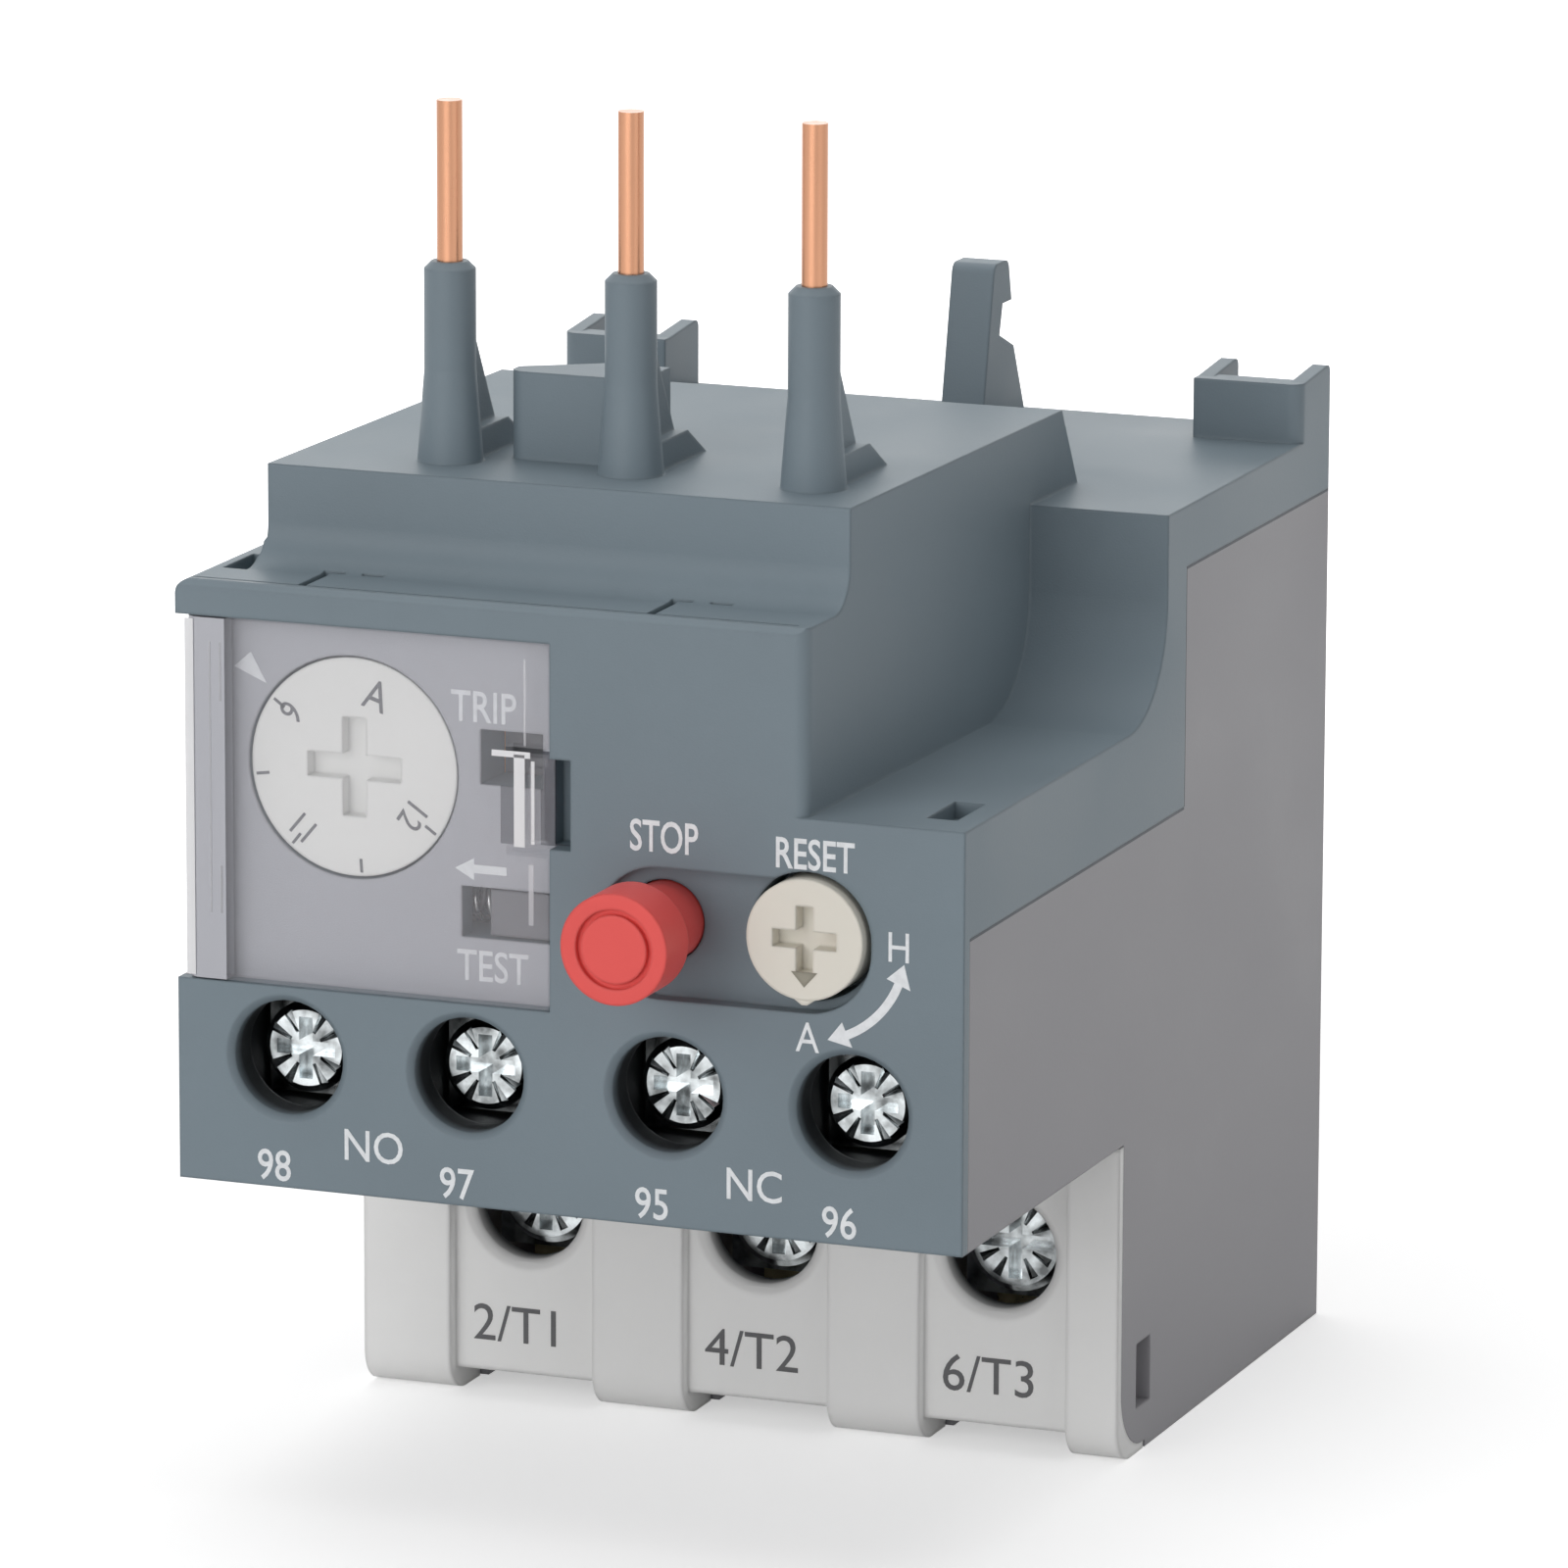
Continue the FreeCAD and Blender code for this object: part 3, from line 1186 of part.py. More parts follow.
def make_dial_cover():
    """Clear cover, hinged on two trunnions at the left edge, with a snap tab at the right."""
    piece = Piece("dial_cover")
    left = -cover_left
    right = -size.cover_right
    z = (cover_bottom, cover_top)
    wall = size.cover_thickness
    section = [
        (left, ZERO),
        (right, ZERO),
        (right, wall),
        (left + wall, wall),
        (left + wall, hinge_y),
        (left, hinge_y),
    ]
    prism(piece, "Add", "Window", "Z", *z, section, [(size.edge_round, left, ZERO)])
    rod(piece, "Add", "Knuckle", "Z", (hinge_x, hinge_y), size.cover_knuckle, cover_bottom, cover_top)
    rod(piece, "Add", "Trunnions", "Z", (hinge_x, hinge_y), size.cover_trunnion,
        cover_bottom - size.trunnion_length, cover_top + size.trunnion_length)
    tab_low = cover_bottom + size.cover_tab_rise
    tab_high = tab_low + size.cover_tab_height
    slot = size.cover_tab_slot
    tab_left = right - size.cover_tab_width
    through = (-ZERO - 1, size.cover_thickness + 1)
    block(piece, "Cut", "SlotBelow", (tab_left, right + 1), through, (tab_low - slot, tab_low))
    block(piece, "Cut", "SlotAbove", (tab_left, right + 1), through, (tab_high, tab_high + slot))
    lip = size.cover_tab_lip
    block(piece, "Add", "TabLip", (right - lip * 2, right), (-lip, size.cover_thickness),
          (tab_low + lip, tab_high - lip))
    return piece


def make_setting_dial():
    """Current-setting dial with its shaft."""
    piece = Piece("setting_dial")
    centre = (dial_x, dial_z)
    rod(piece, "Add", "Disc", "Y", centre, size.dial_radius, dial_front, dial_seat)
    rod(piece, "Add", "Shaft", "Y", centre, size.dial_shaft, dial_seat, plate_rear)
    cross_slots(piece, centre, size.dial_slot_length / 2, size.dial_slot,
                dial_front, size.dial_slot_depth, "Cross")
    return piece


def make_setting_cam():
    """Eccentric cam, pressed on the dial's shaft."""
    piece = Piece("setting_cam")
    rod(piece, "Add", "Disc", "Y", (dial_x + size.cam_offset, dial_z), size.cam_radius, cam_front, cam_rear)
    rod(piece, "Cut", "ShaftBore", "Y", (dial_x, dial_z), size.dial_shaft + size.fit_gap / 2,
        cam_front - 1, cam_rear + 1)
    return piece


def make_adjusting_lever():
    """Lever that follows the cam and shifts the trip point."""
    piece = Piece("adjusting_lever")
    pivot_x = -size.adjust_across
    cam_edge = dial_x + size.cam_offset + size.cam_radius + size.adjust_gap
    hub = size.adjust_hub
    arm = [
        (pivot_x - hub * 0.7, adjust_z),
        (cam_edge, dial_z + size.cam_radius),
        (cam_edge, adjust_z - size.adjust_reach),
        (cam_edge + hub, adjust_z - size.adjust_reach),
        (pivot_x + hub * 0.7, adjust_z),
    ]
    prism(piece, "Add", "Arm", "Y", cam_front, cam_rear, arm)
    rod(piece, "Add", "Hub", "Y", (pivot_x, adjust_z), hub, cam_front, cam_rear)
    rod(piece, "Cut", "PinBore", "Y", (pivot_x, adjust_z), size.adjust_pin + size.fit_gap,
        cam_front - 1, cam_rear + 1)
    return piece


def make_stop_button():
    """Red stop button with an engraved ring, a collar and a tail."""
    piece = Piece("stop_button")
    centre = (size.stop_across, button_z)
    front = -size.button_out
    cap_rear = front + size.stop_cap_thickness
    collar_front = stop_wall + size.nest_gap
    collar_rear = collar_front + size.collar_thickness
    rod(piece, "Add", "Cap", "Y", centre, size.stop_cap_radius, front, cap_rear)
    rod(piece, "Add", "Stalk", "Y", centre, size.stop_stalk_radius, cap_rear, collar_rear)
    rod(piece, "Add", "Collar", "Y", centre, size.collar_radius, collar_front, collar_rear)
    finger_front = rocker_y - size.rocker_arm_width / 2
    tail_rear = finger_front - size.stop_travel - size.slide_gap * 2
    rod(piece, "Add", "Tail", "Y", centre, size.tail_radius, collar_rear, tail_rear)
    rod(piece, "Cut", "Ring", "Y", centre, size.stop_ring_radius + size.stop_ring_width,
        front - 1, front + size.stop_ring_width)
    rod(piece, "Add", "RingCentre", "Y", centre, size.stop_ring_radius, front,
        front + size.stop_ring_width * 2)
    return piece


def make_reset():
    """Turnable reset knob, and the sprung plunger that it turns in."""
    centre = (size.reset_across, button_z)
    front = -size.reset_out
    rear = front + size.reset_thickness
    knob = Piece("reset_knob")
    rod(knob, "Add", "Head", "Y", centre, size.reset_radius, front, rear)
    stem_rear = reset_seat + size.bore_wall
    rod(knob, "Add", "Stem", "Y", centre, size.reset_stem_radius, rear, stem_rear)
    cross_slots(knob, centre, size.reset_cross / 2, size.reset_cross_width,
                front, size.screw_slot_depth, "Cross")
    plunger = Piece("reset_plunger")
    collar_front = reset_seat + size.bore_wall + size.nest_gap
    collar_rear = collar_front + size.collar_thickness
    rod(plunger, "Add", "Sleeve", "Y", centre, size.reset_sleeve_radius, rear + size.nest_gap, collar_rear)
    rod(plunger, "Add", "Collar", "Y", centre, size.collar_radius, collar_front, collar_rear)
    rod(plunger, "Add", "Tail", "Y", centre, size.tail_radius, collar_rear,
        plate_rear + size.reset_tail)
    rod(plunger, "Cut", "StemBore", "Y", centre, size.reset_stem_radius + size.fit_gap,
        rear, stem_rear + size.nest_gap)


def make_coil(name, axis, origin, start, end):
    """Compression spring round its centre line, from start to end along axis."""
    piece = Piece(name)
    wire = size.spring_wire / 2
    body = doc.addObject("PartDesign::Body", f"{piece.name}_Wire")
    section = body.newObject("Sketcher::SketchObject", "Section")
    if axis == "Y":
        attach(section, body, "Z", (origin[0], start + wire, origin[1]))
        place = (size.spring_mean, ZERO)
    else:
        attach(section, body, "Y", (start + wire, origin[1], -origin[0]))
        place = (ZERO, test_spring_mean)
    draw_circle(section, place, wire)
    coil = body.newObject("PartDesign::AdditiveHelix", "Coil")
    coil.Profile = section
    coil.ReferenceAxis = (section, ["V_Axis" if axis == "Y" else "H_Axis"])
    coil.Mode = "height-turns-angle"
    coil.setExpression("Height", (end - start - wire * 2).text)
    coil.setExpression("Turns", size.spring_turns.text)
    piece.take("Add", body)


def make_test_slider():
    """Test slider behind its window, with a stem that reaches the trip mechanism."""
    piece = Piece("test_slider")
    low = cover_bottom + size.test_rise + size.slide_gap
    high = low + size.test_height - size.slide_gap * 2
    right = size.test_width - size.test_left - size.slide_gap
    front = cover_floor + size.slide_gap * 2
    face = (front, front + size.test_thickness)
    block(piece, "Add", "Face", (test_slider_left, right), face, (low, high))
    stem_y = (front, plate_front - size.slide_gap * 2)
    block(piece, "Add", "Stem", (test_slider_left, test_slider_left + size.case_wall), stem_y, (low, high))
    return piece


def make_trip_flag():
    """Coloured flag behind the trip window, on a stem from the trip mechanism."""
    piece = Piece("trip_flag")
    front = dial_seat + size.bore_wall
    trip_low = cover_bottom + size.trip_rise
    z = (trip_low - size.flag_thickness / 2, trip_low + size.trip_height + size.flag_thickness / 2)
    block(piece, "Add", "Plate", (flag_left, flag_left + size.flag_width),
          (front, front + size.flag_thickness), z)
    middle = flag_left + size.flag_width / 2
    block(piece, "Add", "Stem", (middle - size.flag_thickness / 2, middle + size.flag_thickness / 2),
          (front, plate_front - size.slide_gap * 2),
          (trip_low + size.flag_thickness, trip_low + size.flag_thickness * 2))
    return piece


def make_trip_bar():
    """Comb-like slider that the three bimetal ends push."""
    piece = Piece("trip_bar")
    z = (bar_bottom, bar_top)
    block(piece, "Add", "Bar", (-bar_reach, bar_shoulder), (bar_front, bar_rear), z)
    nose_y = (bimetal_rear - size.bar_margin, bimetal_rear)
    block(piece, "Add", "Nose", (bar_shoulder, bar_reach), nose_y, z)
    reach = size.bimetal_thickness / 2
    for number, across in enumerate(pin_places, start=1):
        slot_x = (across - reach - size.bar_travel - size.slide_gap, across + reach + size.slide_gap)
        slot_y = (size.bimetal_front - size.slide_gap * 2, bimetal_rear + size.slide_gap * 2)
        block(piece, "Cut", f"Slot{number}", slot_x, slot_y, (bar_bottom - 1, bar_top + 1))
    return piece


def make_trip_lever():
    """Compensated lever: the trip bar pushes its long arm, the short arm tips the rocker."""
    piece = Piece("trip_lever")
    x, y = lever_centre
    z = (lever_bottom, lever_bottom + size.lever_height)
    rod(piece, "Add", "Hub", "Z", lever_centre, size.lever_hub, lever_bottom,
        lever_bottom + size.lever_hub_height - size.nest_gap)
    arm_x = (bar_reach + size.slide_gap, bar_reach + size.slide_gap + size.lever_thickness)
    block(piece, "Add", "LongArm", arm_x, (y, bimetal_rear), z)
    tip_x = x - size.lever_front_x
    tip_y = y - size.lever_front_y
    short_arm = [
        (x, y - size.lever_thickness),
        (x, y + size.lever_thickness),
        (tip_x - size.lever_thickness, tip_y + size.lever_thickness),
        (tip_x, tip_y),
    ]
    prism(piece, "Add", "ShortArm", "Z", z[0], z[1], short_arm)
    rod(piece, "Cut", "PinBore", "Z", lever_centre, size.lever_pin + size.fit_gap,
        lever_bottom - 1, lever_bottom + size.lever_hub_height)
    return piece


def make_contact_rocker():
    """Rocker that carries both contact bridges, with the finger that the stop button pushes."""
    piece = Piece("contact_rocker")
    y = rocker_y
    arm_y = (y - size.rocker_arm_width / 2, y + size.rocker_arm_width / 2)
    z = (lever_bottom, lever_bottom + size.lever_hub_height - size.nest_gap)
    rod(piece, "Add", "Hub", "Z", rocker_centre, size.rocker_hub, z[0], z[1])
    block(piece, "Add", "Arms", (-rocker_arm, rocker_arm), arm_y, z)
    finger_x = (size.stop_across - size.tail_radius, size.stop_across + size.tail_radius)
    block(piece, "Add", "Finger", finger_x, arm_y, (lever_bottom, z[1] + size.rocker_finger))
    for name, side in (("Open", -1), ("Closed", 1)):
        middle = term(side) * bridge_middle
        post_x = (middle - size.bridge_thickness, middle + size.bridge_thickness)
        block(piece, "Add", f"{name}Post", post_x, (bridge_front + size.bridge_thickness, arm_y[0]), z)
    rod(piece, "Cut", "PinBore", "Z", rocker_centre, size.lever_pin + size.fit_gap,
        lever_bottom - 1, z[1] + 1)
    return piece


def make_bridge(name, side):
    """Moving contact bridge with a silver rivet at each end."""
    piece = Piece(name)
    middle = term(side) * bridge_middle
    reach = bridge_half + size.rivet_radius
    plate_y = (bridge_front, bridge_front + size.bridge_thickness)
    block(piece, "Add", "Blade", (middle - reach, middle + reach), plate_y,
          (contact_z - size.rivet_radius, contact_z + size.rivet_radius))
    for label, across in (("Left", middle - bridge_half), ("Right", middle + bridge_half)):
        rod(piece, "Add", f"{label}Rivet", "Y", (across, contact_z), size.rivet_radius,
            bridge_front - size.rivet_height, bridge_front)
    return piece


def make_snap_spring():
    """Thin bowed leaf between the rocker and the trip lever's short arm."""
    piece = Piece("snap_spring")
    y = rocker_y + size.rocker_arm_width / 2 + size.slide_gap
    z = (lever_bottom + size.lever_height / 4, lever_bottom + size.lever_height * 0.75)
    end_x = lever_x - size.lever_front_x - size.lever_thickness * 2
    start_x = size.rocker_hub + size.slide_gap
    thickness = size.bridge_thickness / 2
    bow = [
        (start_x, y),
        (end_x, y + size.spring_mean / 2),
        (end_x, y + size.spring_mean / 2 + thickness),
        (start_x, y + thickness),
    ]
    prism(piece, "Add", "Leaf", "Z", z[0], z[1], bow)
    return piece


flag_left = size.trip_width - size.trip_left - size.flag_width + size.slide_gap
test_slider_left = size.test_travel + size.slide_gap - size.test_left
test_spring_left = -(size.test_left + size.test_height)
test_spring_mean = size.test_height / 2 - size.spring_wire
bridge_middle = (size.aux_inner + aux_outer) / 2
bridge_half = size.bridge_reach + size.rivet_radius
bridge_front = size.nc_contact_depth + size.nest_gap + size.rivet_height
rocker_arm = bridge_middle + bridge_half + size.arm_margin
rocker_y = bridge_front + size.bridge_thickness + size.rocker_post + size.rocker_arm_width / 2
rocker_centre = (ZERO, rocker_y)
lever_centre = (lever_x, rocker_y + size.lever_offset)
contact_places = {
    "98": -bridge_middle - bridge_half,
    "97": bridge_half - bridge_middle,
    "95": bridge_middle - bridge_half,
    "96": bridge_middle + bridge_half,
}
contact_depths = {
    "98": size.no_outer_depth,
    "97": size.no_inner_depth,
    "95": size.nc_contact_depth,
    "96": size.nc_contact_depth,
}


def make_relay():
    make_front_housing()
    make_base_housing()
    make_terminal_shroud()
    make_mechanism_plate()
    for number in (1, 2, 3):
        across = pin_places[number - 1]
        terminal = main_places[number - 1]
        make_contact_pin(number, across)
        make_bimetal(number, across)
        make_heater(number, across, terminal)
        make_main_pole(number, terminal)
    for mark, across in aux_places.items():
        make_aux_terminal(mark, across, contact_depths[mark], contact_places[mark])
    make_pivot_pins()
    make_dial_cover()
    make_setting_dial()
    make_setting_cam()
    make_adjusting_lever()
    make_stop_button()
    make_reset()
    stop_collar = stop_wall + size.nest_gap + size.collar_thickness
    make_coil("stop_spring", "Y", (size.stop_across, button_z), stop_collar, plate_front)
    reset_collar = reset_seat + size.bore_wall + size.nest_gap + size.collar_thickness
    make_coil("reset_spring", "Y", (size.reset_across, button_z), reset_collar, plate_front)
    make_test_slider()
    test_z = cover_bottom + size.test_rise + size.test_height / 2
    spring_y = cover_floor + size.test_thickness + size.test_height / 2 + size.slide_gap
    make_coil("test_spring", "X", (spring_y, test_z), test_spring_left, test_slider_left)
    make_trip_flag()
    make_trip_bar()
    make_trip_lever()
    make_contact_rocker()
    make_bridge("moving_contact_nc", 1)
    make_bridge("moving_contact_no", -1)
    make_snap_spring()


def check_document():
    """Stop if any object failed, or any sub-part is empty, broken or in several lumps."""
    for item in doc.Objects:
        if "Invalid" in item.State or "Error" in item.State:
            raise RuntimeError(f"{item.Label} ({item.TypeId}) failed: {item.State}")
    for piece in pieces:
        shape = piece.result.Shape
        if shape.isNull() or not shape.isValid():
            raise RuntimeError(f"{piece.name} has no valid shape")
        if len(shape.Solids) != 1:
            raise RuntimeError(f"{piece.name} has {len(shape.Solids)} solids")


def check_cuts():
    """Stop if a group of cuts removed nothing."""
    for item in doc.Objects:
        if item.TypeId == "Part::Cut" and item.Shape.Volume > item.Base.Shape.Volume - 1e-6:
            raise RuntimeError(f"{item.Label} cuts nothing")


fill_sheet()
make_relay()
for piece in pieces:
    piece.finish()
doc.recompute()
check_document()
check_cuts()
os.makedirs("parts", exist_ok=True)
for piece in pieces:
    piece.result.Shape.exportStep(f"parts/{piece.result.Label}.step")
print(f"wrote {len(pieces)} sub-parts")
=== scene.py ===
import math
from fnmatch import fnmatchcase

import bmesh
import bpy
from mathutils import Matrix, Vector


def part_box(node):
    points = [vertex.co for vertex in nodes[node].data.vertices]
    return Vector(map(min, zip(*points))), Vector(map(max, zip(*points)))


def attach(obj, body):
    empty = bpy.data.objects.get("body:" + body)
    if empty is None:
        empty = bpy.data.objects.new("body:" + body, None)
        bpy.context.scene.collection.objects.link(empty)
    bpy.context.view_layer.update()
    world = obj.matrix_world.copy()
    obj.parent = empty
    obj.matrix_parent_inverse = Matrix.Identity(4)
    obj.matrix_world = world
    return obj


# Looks of a thermal overload relay, in metres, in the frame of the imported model.
# X runs across the poles, Y from the operating face to the rear, Z up.

MM = 0.001

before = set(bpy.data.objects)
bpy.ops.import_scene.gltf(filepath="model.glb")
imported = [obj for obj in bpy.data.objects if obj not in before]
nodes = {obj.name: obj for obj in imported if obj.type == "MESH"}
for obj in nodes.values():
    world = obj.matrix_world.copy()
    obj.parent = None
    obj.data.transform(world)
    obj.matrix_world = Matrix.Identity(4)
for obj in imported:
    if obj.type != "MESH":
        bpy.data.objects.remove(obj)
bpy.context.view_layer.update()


# ---------------------------------------------------------------- places read from the frame

def low(node):
    return Vector(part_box(node)[0])


def high(node):
    return Vector(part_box(node)[1])


def middle(node):
    return (low(node) + high(node)) / 2


face_y = low("front_housing").y
shroud_y = low("terminal_shroud").y
base_low, base_high = low("base_housing"), high("base_housing")
cover_low, cover_high = low("dial_cover"), high("dial_cover")
dial_centre = middle("setting_dial")
dial_front = low("setting_dial").y
knob_centre = middle("reset_knob")
knob_front = low("reset_knob").y

# The floor of the cover's recess lies this far in front of the dial's front
DIAL_CLEARANCE = 0.15 * MM
floor_y = dial_front - DIAL_CLEARANCE

# ---------------------------------------------------------------- sizes of zones and prints

PRINT_THICKNESS = 0.03 * MM
PRINT_LIFT = 0.012 * MM
PRINT_SETBACK = PRINT_LIFT + PRINT_THICKNESS / 2
PANEL_RECESS = 0.8 * MM
PANEL_SKIN = 0.12 * MM
ZONE_MARGIN = 0.6 * MM
HINGE_STRIP = 2.35 * MM
AMBER_END = 1.65 * MM

# Screw holes, which get painted shade: half their height, their depth, and the depths between which
# the painted shade darkens
HOLE_REACH = 3.4 * MM
HOLE_DEPTH = 14 * MM
AUX_HOLE_SHADE_FADE = (0.1 * MM, 1.2 * MM)
MAIN_HOLE_SHADE_FADE = (1.0 * MM, 2.4 * MM)

# Joint line of the base: its lower height, the place of its step along Y, and its width
SEAM_LOW, SEAM_STEP = 35.15 * MM, 8.3 * MM
SEAM_WIDTH = 0.16 * MM

# Rectangles of painted shade behind the cover's tab: left, right, foot and head, in millimetres
TAB_SHADES = ((-1.95, 0.0, 38.0, 43.1), (-4.25, -3.0, 37.9, 42.6))


# ---------------------------------------------------------------- colours and shader nodes

HOUSING_BLUE = (117, 130, 138)
BASE_GREY = (150, 149, 153)
SHROUD_WHITE = (238, 238, 237)
FLAG_GREY = (112, 113, 117)
COVER_CLEAR = (236, 236, 242)
PANEL_GREY = (172, 173, 180)
# Painted shade behind the cover's tab
SHADE_GREY = (96, 98, 106)
# The next two colours: painted shade deep in the screw holes of the housing and of the shroud
AUX_HOLE_PAINTED_SHADE = (22, 25, 28)
MAIN_HOLE_PAINTED_SHADE = (24, 24, 26)
SEAM_DARK = (66, 72, 80)
FROSTED = (184, 185, 192)
AMBER = (230, 150, 50)

# Stretches of a noise over which colour and gloss change, and the colour's darkest share
COLOUR_SPAN = (0.35, 0.65)
GLOSS_SPAN = (0.3, 0.7)
HAZE_SPAN, HAZE_DARKEST = (0.3, 0.7), 0.94
INK_SPAN, INK_DARKEST = (0.3, 0.6), 0.9

# Noise scales
DRIFT_SCALE, GRAIN_SCALE, HAZE_SCALE, INK_SCALE = 60.0, 9000.0, 90.0, 2500.0

PLASTIC_SPECULAR = 0.3
PLASTIC_BUMP, METAL_BUMP = 0.35, 0.3
METAL_GRAIN = 0.008 * MM
CLEAR_ROUGHNESS, CLEAR_IOR, FROSTED_ALPHA = 0.22, 1.45, 0.94
INK_ROUGHNESS = 0.6
BEVEL_SAMPLES = 4


def linear(rgb, share=1.0):
    """Linear colour of a share of an sRGB colour given in 0 to 255."""
    parts = [v / 255 for v in rgb]
    parts = [p / 12.92 if p <= 0.04045 else ((p + 0.055) / 1.055) ** 2.4 for p in parts]
    return tuple(p * share for p in parts) + (1.0,)


def grey_scale(value):
    return (value, value, value, 1.0)


def new_material(name):
    material = bpy.data.materials.new(name)
    material.use_nodes = True
    tree = material.node_tree
    return material, tree, tree.nodes["Principled BSDF"]


def noise(tree, scale, detail=4.0, roughness=0.55, stretch=None):
    """Noise over the object's own coordinates, which stretch scales along each axis."""
    place = tree.nodes.new("ShaderNodeTexCoord").outputs["Object"]
    if stretch:
        mapping = tree.nodes.new("ShaderNodeMapping")
        mapping.inputs["Scale"].default_value = stretch
        tree.links.new(place, mapping.inputs["Vector"])
        place = mapping.outputs["Vector"]
    texture = tree.nodes.new("ShaderNodeTexNoise")
    texture.inputs["Scale"].default_value = scale
    texture.inputs["Detail"].default_value = detail
    texture.inputs["Roughness"].default_value = roughness
    tree.links.new(place, texture.inputs["Vector"])
    return texture.outputs["Fac"]


def ramp(tree, source, span, start, end):
    """A colour that runs from start to end while source runs over span."""
    node = tree.nodes.new("ShaderNodeValToRGB")
    for element, place, colour in zip(node.color_ramp.elements, span, (start, end)):
        element.position = place
        element.color = colour
    tree.links.new(source, node.inputs["Fac"])
    return node.outputs["Color"]


def bump(tree, shader, height, strength, distance, soft=0.0):
    """Height turned into a bump, over edges that look rounded by the radius soft."""
    node = tree.nodes.new("ShaderNodeBump")
    node.inputs["Strength"].default_value = strength
    node.inputs["Distance"].default_value = distance
    tree.links.new(height, node.inputs["Height"])
    if soft:
        edge = tree.nodes.new("ShaderNodeBevel")
        edge.samples = BEVEL_SAMPLES
        edge.inputs["Radius"].default_value = soft
        tree.links.new(edge.outputs["Normal"], node.inputs["Normal"])
    tree.links.new(node.outputs["Normal"], shader.inputs["Normal"])


def times(tree, one, other):
    node = tree.nodes.new("ShaderNodeMath")
    node.operation = "MULTIPLY"
    tree.links.new(one, node.inputs[0])
    tree.links.new(other, node.inputs[1])
    return node.outputs["Value"]


def zone_mask(tree, box_low, box_high, deepen=None):
    """1 inside a box of the part's frame and 0 outside; deepen makes it rise between two Ys."""
    place = tree.nodes.new("ShaderNodeTexCoord")
    split = tree.nodes.new("ShaderNodeSeparateXYZ")
    tree.links.new(place.outputs["Object"], split.inputs["Vector"])
    mask = None
    for axis, start, end in zip("XYZ", box_low, box_high):
        near = tree.nodes.new("ShaderNodeMath")
        near.operation = "COMPARE"
        near.inputs[1].default_value = (start + end) / 2
        near.inputs[2].default_value = (end - start) / 2
        tree.links.new(split.outputs[axis], near.inputs[0])
        inside = near.outputs["Value"]
        mask = inside if mask is None else times(tree, mask, inside)
    if deepen:
        fade = tree.nodes.new("ShaderNodeMapRange")
        fade.inputs["From Min"].default_value = deepen[0]
        fade.inputs["From Max"].default_value = deepen[1]
        tree.links.new(split.outputs["Y"], fade.inputs["Value"])
        mask = times(tree, mask, fade.outputs["Result"])
    return mask


def paint_zone(material, rgb, box_low, box_high, deepen=None):
    """Another colour inside a box of the part's frame."""
    tree = material.node_tree
    shader = tree.nodes["Principled BSDF"]
    mix = tree.nodes.new("ShaderNodeMixRGB")
    tree.links.new(zone_mask(tree, box_low, box_high, deepen), mix.inputs["Fac"])
    tree.links.new(shader.inputs["Base Color"].links[0].from_socket, mix.inputs["Color1"])
    mix.inputs["Color2"].default_value = linear(rgb)
    tree.links.new(mix.outputs["Color"], shader.inputs["Base Color"])


# ---------------------------------------------------------------- materials

def moulded_plastic(name, rgb, spread=0.05, roughness=(0.42, 0.56), depth=0.02, soft=0.25):
    """Spark-eroded plastic: fine grain in the bump, slow drift in colour and gloss."""
    material, tree, shader = new_material(name)
    drift = noise(tree, DRIFT_SCALE, detail=5.0)
    colour = ramp(tree, drift, COLOUR_SPAN, linear(rgb, 1 - spread), linear(rgb, 1 + spread))
    tree.links.new(colour, shader.inputs["Base Color"])
    gloss = ramp(tree, drift, GLOSS_SPAN, *map(grey_scale, roughness))
    tree.links.new(gloss, shader.inputs["Roughness"])
    shader.inputs["Specular IOR Level"].default_value = PLASTIC_SPECULAR
    grain = noise(tree, GRAIN_SCALE, detail=2.0)
    bump(tree, shader, grain, PLASTIC_BUMP, depth * MM, soft * MM)
    return material


def metal(name, rgb, roughness=(0.22, 0.38), stretch=(1.0, 1.0, 1.0), spread=0.12, scale=1200.0):
    """Bare or plated metal, with stretched grain for drawn pieces; a wide spread darkens noise
    patches of the colour, which then stand for painted dark reflections.
    """
    material, tree, shader = new_material(name)
    shader.inputs["Metallic"].default_value = 1.0
    grain = noise(tree, scale, roughness=0.5, stretch=stretch)
    colour = ramp(tree, grain, COLOUR_SPAN, linear(rgb, 1 - spread), linear(rgb))
    tree.links.new(colour, shader.inputs["Base Color"])
    gloss = ramp(tree, grain, GLOSS_SPAN, *map(grey_scale, roughness))
    tree.links.new(gloss, shader.inputs["Roughness"])
    bump(tree, shader, grain, METAL_BUMP, METAL_GRAIN)
    return material


def clear_plastic(name, rgb, alpha, frosted=None):
    """Slightly hazy polycarbonate, with a frosted stretch between the two corners of frosted."""
    material, tree, shader = new_material(name)
    haze = noise(tree, HAZE_SCALE, detail=3.0)
    colour = ramp(tree, haze, HAZE_SPAN, linear(rgb, HAZE_DARKEST), linear(rgb))
    tree.links.new(colour, shader.inputs["Base Color"])
    shader.inputs["Roughness"].default_value = CLEAR_ROUGHNESS
    shader.inputs["Alpha"].default_value = alpha
    shader.inputs["IOR"].default_value = CLEAR_IOR
    if frosted:
        strip = tree.nodes.new("ShaderNodeMapRange")
        strip.inputs["To Min"].default_value = alpha
        strip.inputs["To Max"].default_value = FROSTED_ALPHA
        tree.links.new(zone_mask(tree, *frosted), strip.inputs["Value"])
        tree.links.new(strip.outputs["Result"], shader.inputs["Alpha"])
    return material


